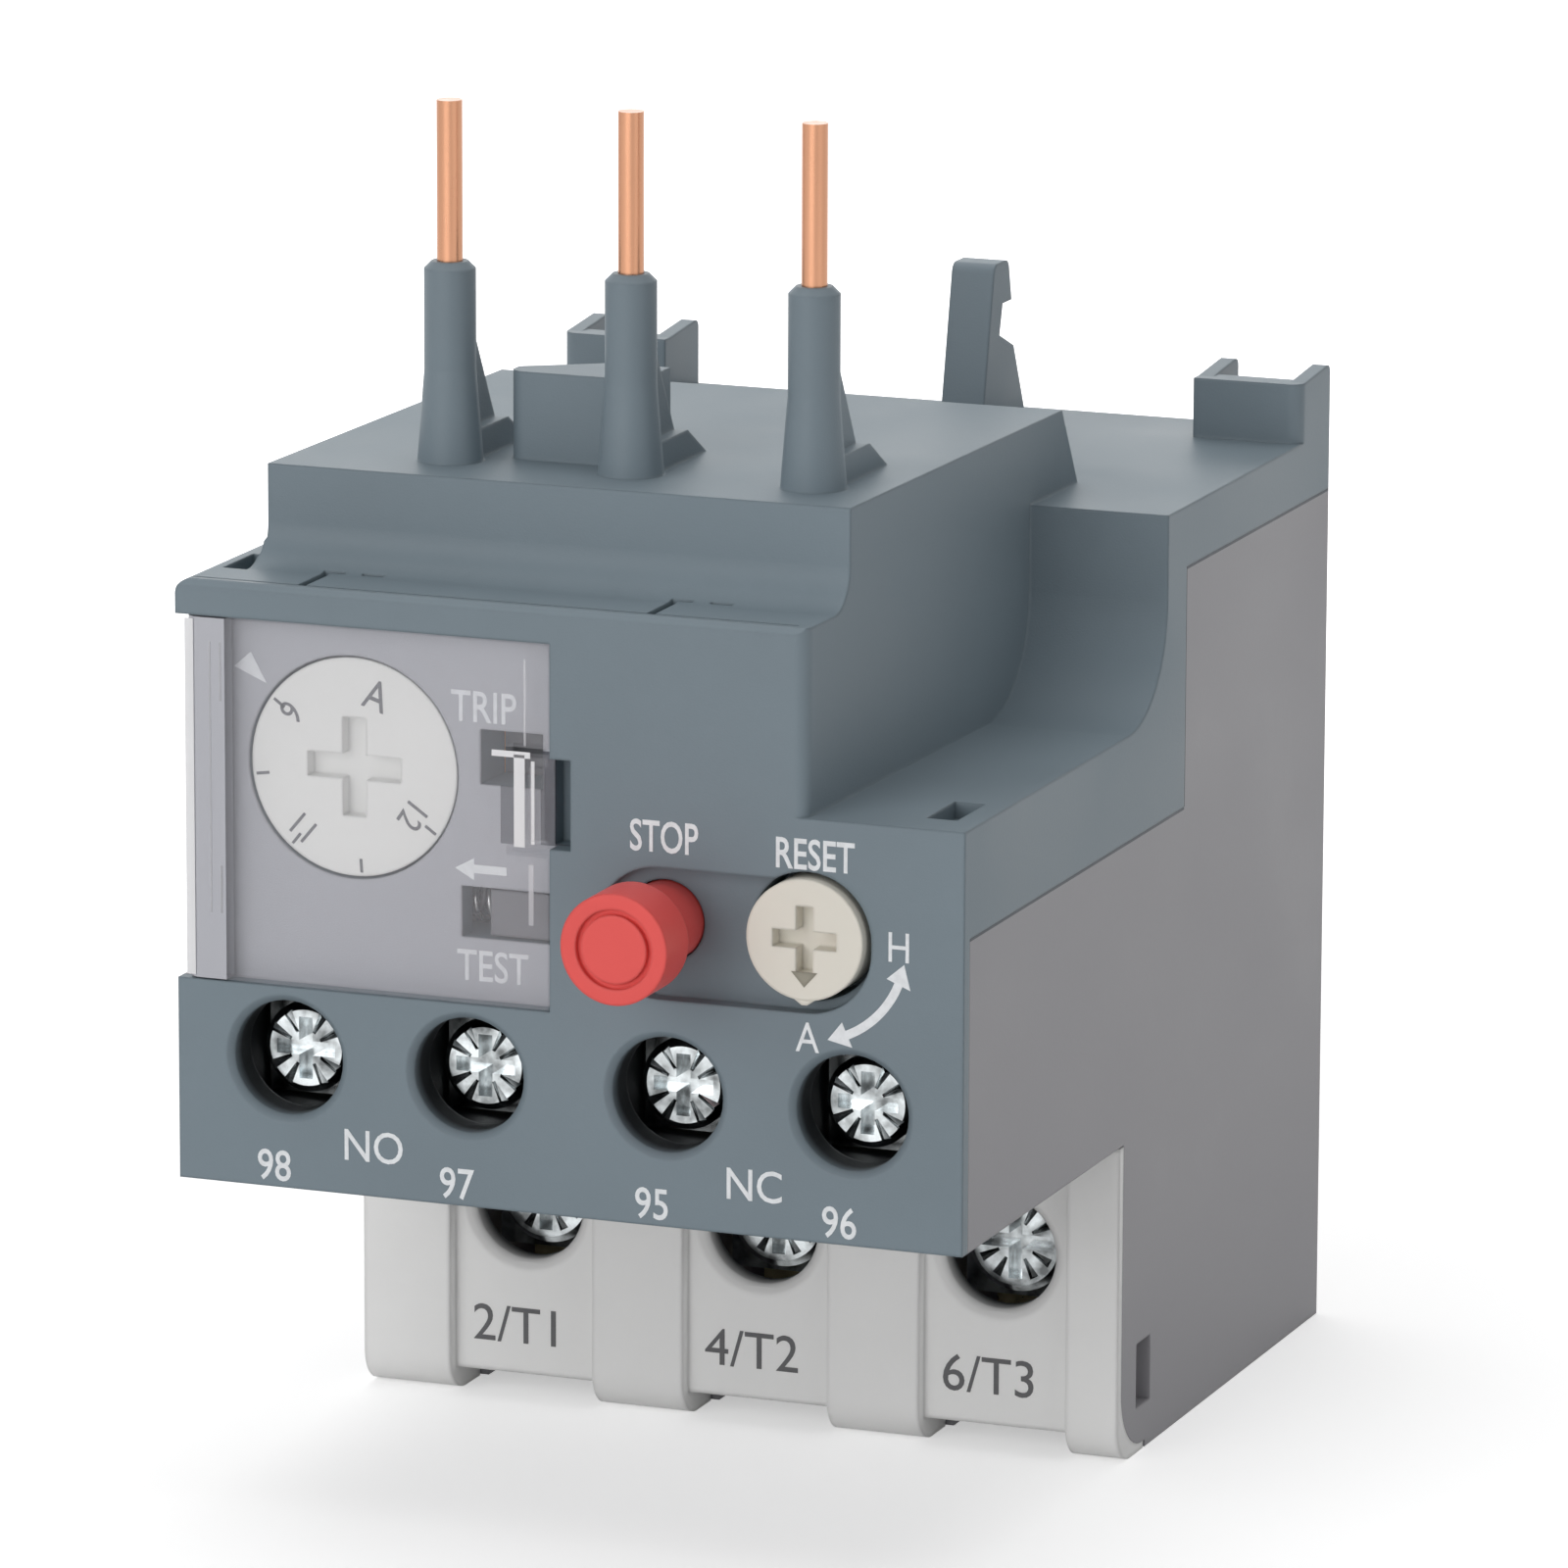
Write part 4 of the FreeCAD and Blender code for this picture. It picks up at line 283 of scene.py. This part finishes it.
def print_ink(name, rgb):
    """Pad-printed ink with slightly uneven cover."""
    material, tree, shader = new_material(name)
    patch = noise(tree, INK_SCALE, detail=3.0)
    colour = ramp(tree, patch, INK_SPAN, linear(rgb, INK_DARKEST), linear(rgb))
    tree.links.new(colour, shader.inputs["Base Color"])
    shader.inputs["Roughness"].default_value = INK_ROUGHNESS
    return material


def housing_plastic():
    """Blue-grey plastic, paler on the panel under the cover, with painted shade behind the cover's
    tab and deep in the screw holes.
    """
    material = moulded_plastic("housing_plastic", HOUSING_BLUE, depth=0.03)
    front, rear = floor_y - PANEL_SKIN, floor_y + PANEL_SKIN
    paint_zone(material, PANEL_GREY,
               (cover_low.x, front, cover_low.z), (cover_high.x, rear, cover_high.z))
    # Painted shade behind the cover's tab
    for left, right, foot, head in TAB_SHADES:
        paint_zone(material, SHADE_GREY,
                   (left * MM, front, foot * MM), (right * MM, rear, head * MM))
    # Painted shade deep in the auxiliary screw holes
    paint_hole_shade(material, AUX_HOLE_PAINTED_SHADE, face_y, base_low.x + ZONE_MARGIN,
                base_high.x - ZONE_MARGIN, middle("aux_screw_95").z, AUX_HOLE_SHADE_FADE)
    return material


def base_plastic():
    """Grey plastic, with a dark joint line where the base meets the front housing."""
    material = moulded_plastic("base_plastic", BASE_GREY, depth=0.03)
    left, right = base_low.x - ZONE_MARGIN, base_high.x + ZONE_MARGIN
    front, rear, top = base_low.y - ZONE_MARGIN, base_high.y + ZONE_MARGIN, base_high.z
    lines = (
        (front, SEAM_LOW - SEAM_WIDTH, SEAM_STEP, SEAM_LOW + ZONE_MARGIN),
        (SEAM_STEP - ZONE_MARGIN, SEAM_LOW, SEAM_STEP + SEAM_WIDTH / 2, top + ZONE_MARGIN),
        (SEAM_STEP, top - SEAM_WIDTH, rear, top + ZONE_MARGIN),
    )
    for start, foot, end, head in lines:
        paint_zone(material, SEAM_DARK, (left, start, foot), (right, end, head))
    return material


def shroud_plastic():
    """Pale grey plastic, with painted shade deep in the screw holes."""
    material = moulded_plastic("shroud_plastic", SHROUD_WHITE, spread=0.025, soft=0.5)
    # Painted shade deep in the main screw holes
    paint_hole_shade(material, MAIN_HOLE_PAINTED_SHADE, shroud_y, low("main_screw_1").x - ZONE_MARGIN,
                high("main_screw_3").x + ZONE_MARGIN, middle("main_screw_2").z, MAIN_HOLE_SHADE_FADE)
    return material


def paint_hole_shade(material, rgb, front, left, right, height, fade):
    """Painted shade for a row of screw holes at one height, which darkens with depth behind front.
    """
    deepen = (front + fade[0], front + fade[1])
    paint_zone(material, rgb, (left, front, height - HOLE_REACH),
               (right, front + HOLE_DEPTH, height + HOLE_REACH), deepen)


def cover_plastic():
    """Clear cover, frosted along its hinge."""
    strip = (cover_low, (cover_low.x + HINGE_STRIP, cover_high.y, cover_high.z))
    material = clear_plastic("clear_plastic", COVER_CLEAR, 0.1, strip)
    paint_zone(material, FROSTED, *strip)
    return material


def flag_plastic():
    """Grey indicator slide with an amber end, which shows in the window once it has moved."""
    material = moulded_plastic("trip_flag_plastic", FLAG_GREY)
    start, end = low("trip_flag"), high("trip_flag")
    paint_zone(material, AMBER, start, (start.x + AMBER_END, end.y, end.z))
    return material


MATERIALS = {
    "housing": housing_plastic(),
    "base": base_plastic(),
    "shroud": shroud_plastic(),
    "inner": moulded_plastic("inner_plastic", (44, 46, 50)),
    "dial": moulded_plastic("dial_plastic", (234, 234, 232), spread=0.015, roughness=(0.34, 0.44)),
    "red": moulded_plastic("red_plastic", (232, 88, 84), spread=0.03, roughness=(0.34, 0.46)),
    "cream": moulded_plastic("cream_plastic", (226, 222, 211), spread=0.02, roughness=(0.36, 0.46)),
    # Darker cream: painted shade in the reset knob's sunk arrow tip
    "knob_recess_painted_shade": moulded_plastic("knob_recess_painted_shade_plastic", (150, 146, 132), spread=0.02),
    "flag": flag_plastic(),
    "test": moulded_plastic("test_plastic", (112, 112, 117), spread=0.02),
    "clear": cover_plastic(),
    # Near-white strips: painted highlights on the cover's edges and moulded lines
    "painted_edge_highlight": clear_plastic("painted_edge_highlight_plastic", (244, 244, 246), 0.85),
    "painted_line_highlight": clear_plastic("painted_line_highlight_plastic", (236, 236, 240), 0.4),
    "copper": metal("drawn_copper", (182, 134, 106), (0.22, 0.36), (1.0, 1.0, 0.06)),
    # Zinc's colour drops to a fifth of its value in noise patches: painted dark reflections in the
    # shiny plating
    "painted_reflection_zinc": metal("zinc_plate", (222, 228, 230), (0.10, 0.22), spread=0.8, scale=700.0),
    "steel": metal("spring_steel", (176, 176, 176)),
    "tin": metal("tinned_brass", (206, 196, 160), (0.25, 0.4)),
    "white_ink": print_ink("white_ink", (232, 235, 238)),
    "dark_ink": print_ink("dark_ink", (92, 92, 94)),
    "dial_ink": print_ink("dial_ink", (100, 100, 105)),
    "faint_ink": print_ink("faint_ink", (226, 228, 232)),
}

FINISHES = {
    "housing": ["front_housing"],
    "base": ["base_housing"],
    "shroud": ["terminal_shroud"],
    "inner": ["mechanism_plate", "trip_bar", "trip_lever", "contact_rocker", "adjusting_lever",
              "setting_cam"],
    "dial": ["setting_dial"],
    "red": ["stop_button"],
    "cream": ["reset_knob", "reset_plunger"],
    "flag": ["trip_flag"],
    "test": ["test_slider"],
    "clear": ["dial_cover"],
    "copper": ["contact_pin_*"],
    "painted_reflection_zinc": ["main_screw_*", "main_clamp_*", "aux_screw_*", "aux_clamp_*"],
    "steel": ["*_spring", "*_pin", "bimetal_strip_*", "heater_winding_*"],
    "tin": ["main_terminal_*", "aux_terminal_*", "moving_contact_*"],
}


def finish_of(node):
    for finish, patterns in FINISHES.items():
        if any(fnmatchcase(node, pattern) for pattern in patterns):
            return finish
    raise KeyError(f"no finish for {node}")


def dress_nodes():
    for name, obj in nodes.items():
        obj.data.materials.clear()
        obj.data.materials.append(MATERIALS[finish_of(name)])


# ---------------------------------------------------------------- pieces

def add_piece(name, mesh, material, body):
    """An object with one material that rides on body."""
    obj = bpy.data.objects.new(name, mesh)
    bpy.context.collection.objects.link(obj)
    mesh.materials.clear()
    mesh.materials.append(MATERIALS[material])
    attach(obj, body)
    return obj


def add_built(name, build, material, body):
    """A piece whose faces are made by build(bm)."""
    bm = bmesh.new()
    build(bm)
    bmesh.ops.recalc_face_normals(bm, faces=bm.faces)
    mesh = bpy.data.meshes.new(name)
    bm.to_mesh(mesh)
    bm.free()
    return add_piece(name, mesh, material, body)


# Height of a capital in the font's own size
CAPITAL_SHARE = 0.73
LETTER_STEPS = 4
ORIGIN = Vector((0, 0, 0))
FACE_FRONT = Matrix.Rotation(math.radians(90), 4, "X")


def lettering(name, words, place, height, material="white_ink", body="housing",
              turn=0.0, squeeze=1.0, weight=0.0):
    """Printed words on a face towards -Y, centred on place, with capitals of the given height."""
    curve = bpy.data.curves.new(name, "FONT")
    curve.body = words
    curve.size = height / CAPITAL_SHARE
    curve.align_x = "CENTER"
    curve.align_y = "CENTER"
    curve.extrude = PRINT_THICKNESS / 2
    curve.offset = weight
    curve.resolution_u = LETTER_STEPS
    source = bpy.data.objects.new(name, curve)
    bpy.context.collection.objects.link(source)
    bpy.context.view_layer.update()
    evaluated = source.evaluated_get(bpy.context.evaluated_depsgraph_get())
    mesh = bpy.data.meshes.new_from_object(evaluated)
    bpy.data.objects.remove(source)
    x, y, z = place
    lifted = Matrix.Translation((x, y - PRINT_LIFT, z))
    narrowed = Matrix.Diagonal((squeeze, 1, 1, 1))
    mesh.transform(lifted @ Matrix.Rotation(-turn, 4, "Y") @ FACE_FRONT @ narrowed)
    add_piece(name, mesh, material, body)


def plate(name, corners, y, material, body, thickness=PRINT_THICKNESS):
    """A flat piece with (x, z) corners, whose front is at y and looks towards -Y."""
    def build(bm):
        front = [bm.verts.new((x, y, z)) for x, z in corners]
        rear = [bm.verts.new((x, y + thickness, z)) for x, z in corners]
        bm.faces.new(front)
        bm.faces.new(rear[::-1])
        for i in range(len(corners)):
            k = (i + 1) % len(corners)
            bm.faces.new((front[i], rear[i], rear[k], front[k]))
    add_built(name, build, material, body)


def bar_corners(start, end, width):
    """Corners of a straight bar between two (x, z) points."""
    a, b = Vector(start), Vector(end)
    run = b - a
    across = Vector((-run.y, run.x)).normalized() * width / 2
    return [tuple(v) for v in (a - across, b - across, b + across, a + across)]


def local(points, centre=ORIGIN):
    """(x, z) points given in millimetres from centre."""
    return [(centre.x + x * MM, centre.z + z * MM) for x, z in points]


def around(centre, radius, degrees):
    turn = math.radians(degrees)
    return (centre.x + radius * math.cos(turn), centre.z + radius * math.sin(turn))


# ---------------------------------------------------------------- marks of the operating face

# Words, middle x and z, height, squeeze and weight, in millimetres
BUTTON_MARKS = (
    ("STOP", 5.6, 39.25, 1.75, 0.68, 0.03),
    ("RESET", 14.1, 39.0, 1.7, 0.73, 0.03),
    ("H", 18.85, 34.45, 1.7, 0.85, 0.0),
    ("A", 13.75, 29.15, 1.7, 0.85, 0.0),
)
COVER_MARKS = (
    ("TRIP", -5.2, 45.1, 1.75, 0.8, 0.02),
    ("TEST", -4.7, 31.0, 1.75, 0.8, 0.02),
)
TEST_ARROW = ((-6.87, 36.35), (-5.78, 36.95), (-5.78, 36.6), (-3.9, 36.6), (-3.9, 36.14),
              (-5.78, 36.14), (-5.78, 35.75))
POINTER = ((-18.67, 47.15), (-19.64, 46.3), (-17.75, 45.5))

# Curved double arrow round the reset knob
ARROW_RADIUS, ARROW_HALF_WIDTH, ARROW_HALF_HEAD = 5.5 * MM, 0.24 * MM, 0.72 * MM
ARROW_FIRST, ARROW_LAST, ARROW_TIP = -22.0, -66.0, 12.0
ARROW_STEPS = 14


def print_words(marks, y, material):
    for words, x, z, height, squeeze, weight in marks:
        lettering(f"mark_{words}", words, (x * MM, y, z * MM), height * MM, material,
                  squeeze=squeeze, weight=weight * MM)


def print_buttons():
    print_words(BUTTON_MARKS, face_y, "white_ink")
    step = (ARROW_LAST - ARROW_FIRST) / ARROW_STEPS
    turns = [ARROW_FIRST + step * i for i in range(ARROW_STEPS + 1)]
    outer = [around(knob_centre, ARROW_RADIUS + ARROW_HALF_WIDTH, turn) for turn in turns]
    inner = [around(knob_centre, ARROW_RADIUS - ARROW_HALF_WIDTH, turn) for turn in turns]
    corners = [
        around(knob_centre, ARROW_RADIUS, ARROW_FIRST + ARROW_TIP),
        around(knob_centre, ARROW_RADIUS + ARROW_HALF_HEAD, ARROW_FIRST),
        *outer,
        around(knob_centre, ARROW_RADIUS + ARROW_HALF_HEAD, ARROW_LAST),
        around(knob_centre, ARROW_RADIUS, ARROW_LAST - ARROW_TIP),
        around(knob_centre, ARROW_RADIUS - ARROW_HALF_HEAD, ARROW_LAST),
        *inner[::-1],
        around(knob_centre, ARROW_RADIUS - ARROW_HALF_HEAD, ARROW_FIRST),
    ]
    plate("mark_turn_arrow", corners, face_y - PRINT_SETBACK, "white_ink", "housing")


def print_under_cover():
    print_words(COVER_MARKS, floor_y, "faint_ink")
    front = floor_y - PRINT_SETBACK
    plate("mark_test_arrow", local(TEST_ARROW), front, "white_ink", "housing")
    plate("mark_pointer", local(POINTER), front, "faint_ink", "housing")


# ---------------------------------------------------------------- marks of the dial and the knob

# Characters, place across and up from the centre, and height, in millimetres
DIAL_NUMBERS = (
    ("9", -3.6, 2.65, 1.45),
    ("A", 1.25, 3.9, 1.75),
    ("11", -2.95, -3.5, 1.45),
    ("12", 3.35, -2.3, 1.45),
)
DIAL_SQUEEZE = 0.85

# Ticks: degrees clockwise from the top, and the radii of both ends
DIAL_TICKS = (-98, -54, -141, 176, 125)
TICK_START, TICK_END, TICK_WIDTH = 5.0 * MM, 5.75 * MM, 0.16 * MM

# Corners from the knob's centre, in millimetres; the arrow tip is a sheet of painted shade where
# the knob's arrow is sunk into its face
KNOB_ARROW = ((-0.74, -1.72), (0.74, -1.72), (0, -2.55))
KNOB_NIB = ((-0.75, -3.1), (0.75, -3.1), (0.15, -3.52), (-0.15, -3.52))
NIB_SETBACK, NIB_THICKNESS = 0.02 * MM, 0.4 * MM


def print_dial():
    for words, across, up, tall in DIAL_NUMBERS:
        place = (dial_centre.x + across * MM, dial_front, dial_centre.z + up * MM)
        lettering(f"dial_{words}", words, place, tall * MM, "dial_ink", "setting_dial",
                  turn=-math.atan2(across, up), squeeze=DIAL_SQUEEZE)
    for number, clockwise in enumerate(DIAL_TICKS, start=1):
        start = around(dial_centre, TICK_START, 90 - clockwise)
        end = around(dial_centre, TICK_END, 90 - clockwise)
        plate(f"dial_tick_{number}", bar_corners(start, end, TICK_WIDTH),
              dial_front - PRINT_SETBACK, "dial_ink", "setting_dial")


def add_knob_marks():
    # The arrow tip is painted shade in the knob's sunk arrow; the nib is cream plastic
    plate("reset_arrow_tip", local(KNOB_ARROW, knob_centre), knob_front - PRINT_SETBACK,
          "knob_recess_painted_shade", "reset_knob")
    plate("reset_nib", local(KNOB_NIB, knob_centre), knob_front + NIB_SETBACK, "cream",
          "reset_knob", NIB_THICKNESS)


# ---------------------------------------------------------------- painted highlights on the edges of the cover

# Depth of the edges behind the cover's foremost face
COVER_EDGE_DEPTH = 0.45 * MM

# White strips on the edges and moulded lines of the cover and its tab, which are the cover's own,
# painted highlights where light catches the clear plastic: two ends, width and finish
COVER_EDGES = {
    "cover_edge_left": ((-21.7, 29.5), (-21.7, 49.0), 0.5, "painted_edge_highlight"),
    "cover_line_outer": ((-20.5, 33.0), (-20.5, 47.8), 0.1, "painted_line_highlight"),
    "cover_line_inner": ((-19.9, 44.6), (-19.9, 47.8), 0.1, "painted_line_highlight"),
    "cover_line_lower": ((-19.9, 33.0), (-19.9, 35.6), 0.1, "painted_line_highlight"),
    "cover_line_right": ((-2.3, 43.6), (-2.3, 48.3), 0.12, "painted_line_highlight"),
    "cover_line_foot": ((-1.95, 33.9), (-1.95, 37.2), 0.28, "painted_line_highlight"),
    "cover_tab_edge": ((-2.62, 38.1), (-2.62, 43.1), 0.62, "painted_edge_highlight"),
    "cover_tab_head": ((-4.2, 43.1), (-2.0, 43.1), 0.34, "painted_edge_highlight"),
    "cover_tab_side": ((-1.85, 38.3), (-1.85, 42.8), 0.2, "painted_edge_highlight"),
}


def add_cover_edges():
    front = cover_low.y + COVER_EDGE_DEPTH - PRINT_THICKNESS
    # Painted highlights along the edges and moulded lines of the clear cover
    for name, (start, end, width, finish) in COVER_EDGES.items():
        corners = bar_corners(*local([start, end]), width * MM)
        plate(name, corners, front, finish, "dial_cover")


# ---------------------------------------------------------------- screws and terminals

# Wedges on a screw head, in degrees and millimetres: turns off the diagonal, half widths of the
# two ends, how far the ridge keeps from them, and the radii between which the wedge runs
WEDGE_TURNS = (-16, 16)
WEDGE_INNER_HALF, WEDGE_OUTER_HALF = 0.1, 0.28
RIDGE_INNER_INSET, RIDGE_OUTER_INSET = 0.1, 0.12
WEDGE_HEIGHT, WEDGE_SINK = 0.2, 0.01
AUX_WEDGE = (0.95, 2.2)
MAIN_WEDGE = (1.1, 2.3)

# Marks below the screws: shift across and drop from a screw's middle, and height of the capitals
AUX_MARKS = (("98", -0.75), ("97", -0.6), ("95", -0.75), ("96", -0.6))
AUX_DROP, AUX_HEIGHT, AUX_SQUEEZE, AUX_WEIGHT = 6.05 * MM, 1.75 * MM, 0.85, 0.02 * MM
CONTACT_MARKS = (("NO", "98", "97"), ("NC", "95", "96"))
CONTACT_SHIFT, CONTACT_DROP, CONTACT_HEIGHT = -0.2 * MM, 4.5 * MM, 1.8 * MM
CONTACT_SQUEEZE, CONTACT_WEIGHT = 0.92, 0.01 * MM
POLE_MARKS = ((1, "2/T1"), (2, "4/T2"), (3, "6/T3"))
POLE_SHIFT, POLE_DROP, POLE_HEIGHT = -0.45 * MM, 7.15 * MM, 2.2 * MM


def add_wedge(bm, centre, front, turn, inner, outer):
    """A wedge that runs outwards on a screw head, with a ridge above its four foot corners."""
    along = Vector((math.cos(turn), 0, math.sin(turn)))
    across = Vector((-along.z, 0, along.x))
    feet = []
    for radius, half in ((inner, WEDGE_INNER_HALF), (outer, WEDGE_OUTER_HALF)):
        for side in (-1, 1):
            foot = centre + along * radius * MM + across * side * half * MM
            feet.append(bm.verts.new((foot.x, front + WEDGE_SINK * MM, foot.z)))
    ridge = []
    for radius in (inner + RIDGE_INNER_INSET, outer - RIDGE_OUTER_INSET):
        top = centre + along * radius * MM
        ridge.append(bm.verts.new((top.x, front - WEDGE_HEIGHT * MM, top.z)))
    a, b, c, d = feet
    bm.faces.new((a, b, ridge[0]))
    bm.faces.new((c, ridge[1], d))
    bm.faces.new((a, ridge[0], ridge[1], c))
    bm.faces.new((b, d, ridge[1], ridge[0]))
    bm.faces.new((a, c, d, b))


def add_screw_ribs(node, radii):
    """Raised wedges on a screw head, between the two radii and between the arms of its cross."""
    centre, front = middle(node), low(node).y

    def build(bm):
        for quarter in range(4):
            for offset in WEDGE_TURNS:
                add_wedge(bm, centre, front, math.radians(45 + 90 * quarter + offset), *radii)
    piece = add_built(f"ribs_{node}", build, "painted_reflection_zinc", node)


def label_terminals():
    for mark, shift in AUX_MARKS:
        screw = middle(f"aux_screw_{mark}")
        place = (screw.x + shift * MM, face_y, screw.z - AUX_DROP)
        lettering(f"mark_{mark}", mark, place, AUX_HEIGHT, squeeze=AUX_SQUEEZE, weight=AUX_WEIGHT)
    for words, left, right in CONTACT_MARKS:
        between = (middle(f"aux_screw_{left}") + middle(f"aux_screw_{right}")) / 2
        place = (between.x + CONTACT_SHIFT, face_y, between.z - CONTACT_DROP)
        lettering(f"mark_{words}", words, place, CONTACT_HEIGHT,
                  squeeze=CONTACT_SQUEEZE, weight=CONTACT_WEIGHT)
    for number, words in POLE_MARKS:
        screw = middle(f"main_screw_{number}")
        place = (screw.x + POLE_SHIFT, shroud_y + PANEL_RECESS, screw.z - POLE_DROP)
        lettering(f"mark_pole_{number}", words, place, POLE_HEIGHT, "dark_ink")


# ---------------------------------------------------------------- stage

FLOOR_REACH = 3.0

# Distances from the part between which the floor's glow grows from FLOOR_GLOW to full white
FLOOR_NEAR, FLOOR_FAR = 0.09, 0.3
FLOOR_GLOW = 0.45
FLOOR_SHADE, FLOOR_ROUGHNESS = 0.8, 0.9
WHITE = (1, 1, 1, 1)
WORLD_STRENGTH = 0.22

# Lamps: place, width and height in metres, and power in watts
LAMP_TARGET = (0, 0, 0.035)
LAMPS = {
    "key": ((-0.25, -0.6, 0.32), 0.5, 0.4, 1.3),
    "low": ((-0.05, -0.7, 0.12), 0.5, 0.2, 0.9),
    "fill": ((0.65, -0.25, 0.15), 0.5, 0.4, 0.5),
    "top": ((-0.05, 0.1, 0.65), 0.6, 0.6, 2.0),
    "back": ((-0.3, 0.75, 0.3), 1.0, 0.4, 1.2),
}

# Camera of the photograph's view, with its lens and sensor in millimetres
CAMERA_PLACE = (0.210217, -0.537196, 0.164267)
CAMERA_AZIMUTH = math.radians(21.18)
CAMERA_ELEVATION = math.radians(12.51)
CAMERA_ROLL = math.radians(0.2)
CAMERA_LENS, CAMERA_SENSOR = 246.1, 36.0
CAMERA_CLIP = 0.01


def background_rays(tree):
    """1 for camera, glossy and transmission rays, which all see a white background."""
    path = tree.nodes.new("ShaderNodeLightPath")
    seen = path.outputs["Is Camera Ray"]
    for kind in ("Is Glossy Ray", "Is Transmission Ray"):
        either = tree.nodes.new("ShaderNodeMath")
        either.operation = "MAXIMUM"
        tree.links.new(seen, either.inputs[0])
        tree.links.new(path.outputs[kind], either.inputs[1])
        seen = either.outputs["Value"]
    return seen


def add_stage():
    """A white floor that keeps the shadow near the part and fades to the background further out."""
    bm = bmesh.new()
    bmesh.ops.create_grid(bm, x_segments=1, y_segments=1, size=FLOOR_REACH)
    mesh = bpy.data.meshes.new("floor")
    bm.to_mesh(mesh)
    bm.free()
    floor = bpy.data.objects.new("floor", mesh)
    floor.location = ((base_low.x + base_high.x) / 2, 0, 0)
    bpy.context.collection.objects.link(floor)
    material, tree, shader = new_material("floor_white")
    shader.inputs["Base Color"].default_value = grey_scale(FLOOR_SHADE)
    shader.inputs["Roughness"].default_value = FLOOR_ROUGHNESS
    shader.inputs["Emission Color"].default_value = WHITE
    place = tree.nodes.new("ShaderNodeTexCoord")
    distance = tree.nodes.new("ShaderNodeVectorMath")
    distance.operation = "LENGTH"
    tree.links.new(place.outputs["Object"], distance.inputs[0])
    fade = tree.nodes.new("ShaderNodeMapRange")
    fade.inputs["From Min"].default_value = FLOOR_NEAR
    fade.inputs["From Max"].default_value = FLOOR_FAR
    fade.inputs["To Min"].default_value = FLOOR_GLOW
    tree.links.new(distance.outputs["Value"], fade.inputs["Value"])
    glow = times(tree, background_rays(tree), fade.outputs["Result"])
    tree.links.new(glow, shader.inputs["Emission Strength"])
    mesh.materials.append(material)


def add_lamps():
    for name, (place, width, height, power) in LAMPS.items():
        data = bpy.data.lights.new(name, "AREA")
        data.shape = "RECTANGLE"
        data.size = width
        data.size_y = height
        data.energy = power
        lamp = bpy.data.objects.new(name, data)
        lamp.location = place
        lamp.rotation_mode = "QUATERNION"
        lamp.rotation_quaternion = (Vector(LAMP_TARGET) - Vector(place)).to_track_quat("-Z", "Y")
        bpy.context.collection.objects.link(lamp)


def add_world():
    """Soft even light from a world that the camera, metal and glass see as white."""
    world = bpy.data.worlds.new("studio")
    bpy.context.scene.world = world
    world.use_nodes = True
    tree = world.node_tree
    back = tree.nodes["Background"]
    back.inputs["Color"].default_value = WHITE
    back.inputs["Strength"].default_value = WORLD_STRENGTH
    seen = tree.nodes.new("ShaderNodeBackground")
    seen.inputs["Color"].default_value = WHITE
    mix = tree.nodes.new("ShaderNodeMixShader")
    tree.links.new(background_rays(tree), mix.inputs["Fac"])
    tree.links.new(back.outputs["Background"], mix.inputs[1])
    tree.links.new(seen.outputs["Background"], mix.inputs[2])
    tree.links.new(mix.outputs["Shader"], tree.nodes["World Output"].inputs["Surface"])


def add_camera():
    data = bpy.data.cameras.new("camera")
    data.sensor_width = CAMERA_SENSOR
    data.lens = CAMERA_LENS
    data.clip_start = CAMERA_CLIP
    camera = bpy.data.objects.new("camera", data)
    a, e = CAMERA_AZIMUTH, CAMERA_ELEVATION
    back = Vector((math.sin(a) * math.cos(e), -math.cos(a) * math.cos(e), math.sin(e)))
    right = Vector((math.cos(a), math.sin(a), 0))
    up = back.cross(right)
    level = Matrix((right, up, back)).transposed()
    turned = level @ Matrix.Rotation(CAMERA_ROLL, 3, "Z")
    camera.matrix_world = Matrix.Translation(CAMERA_PLACE) @ turned.to_4x4()
    bpy.context.collection.objects.link(camera)
    bpy.context.scene.camera = camera


dress_nodes()
label_terminals()
print_buttons()
print_under_cover()
print_dial()
add_cover_edges()
add_knob_marks()
for mark, _ in AUX_MARKS:
    add_screw_ribs(f"aux_screw_{mark}", AUX_WEDGE)
for pole, _ in POLE_MARKS:
    add_screw_ribs(f"main_screw_{pole}", MAIN_WEDGE)
add_stage()
add_lamps()
add_world()
add_camera()

bpy.context.scene.view_settings.view_transform = "Standard"
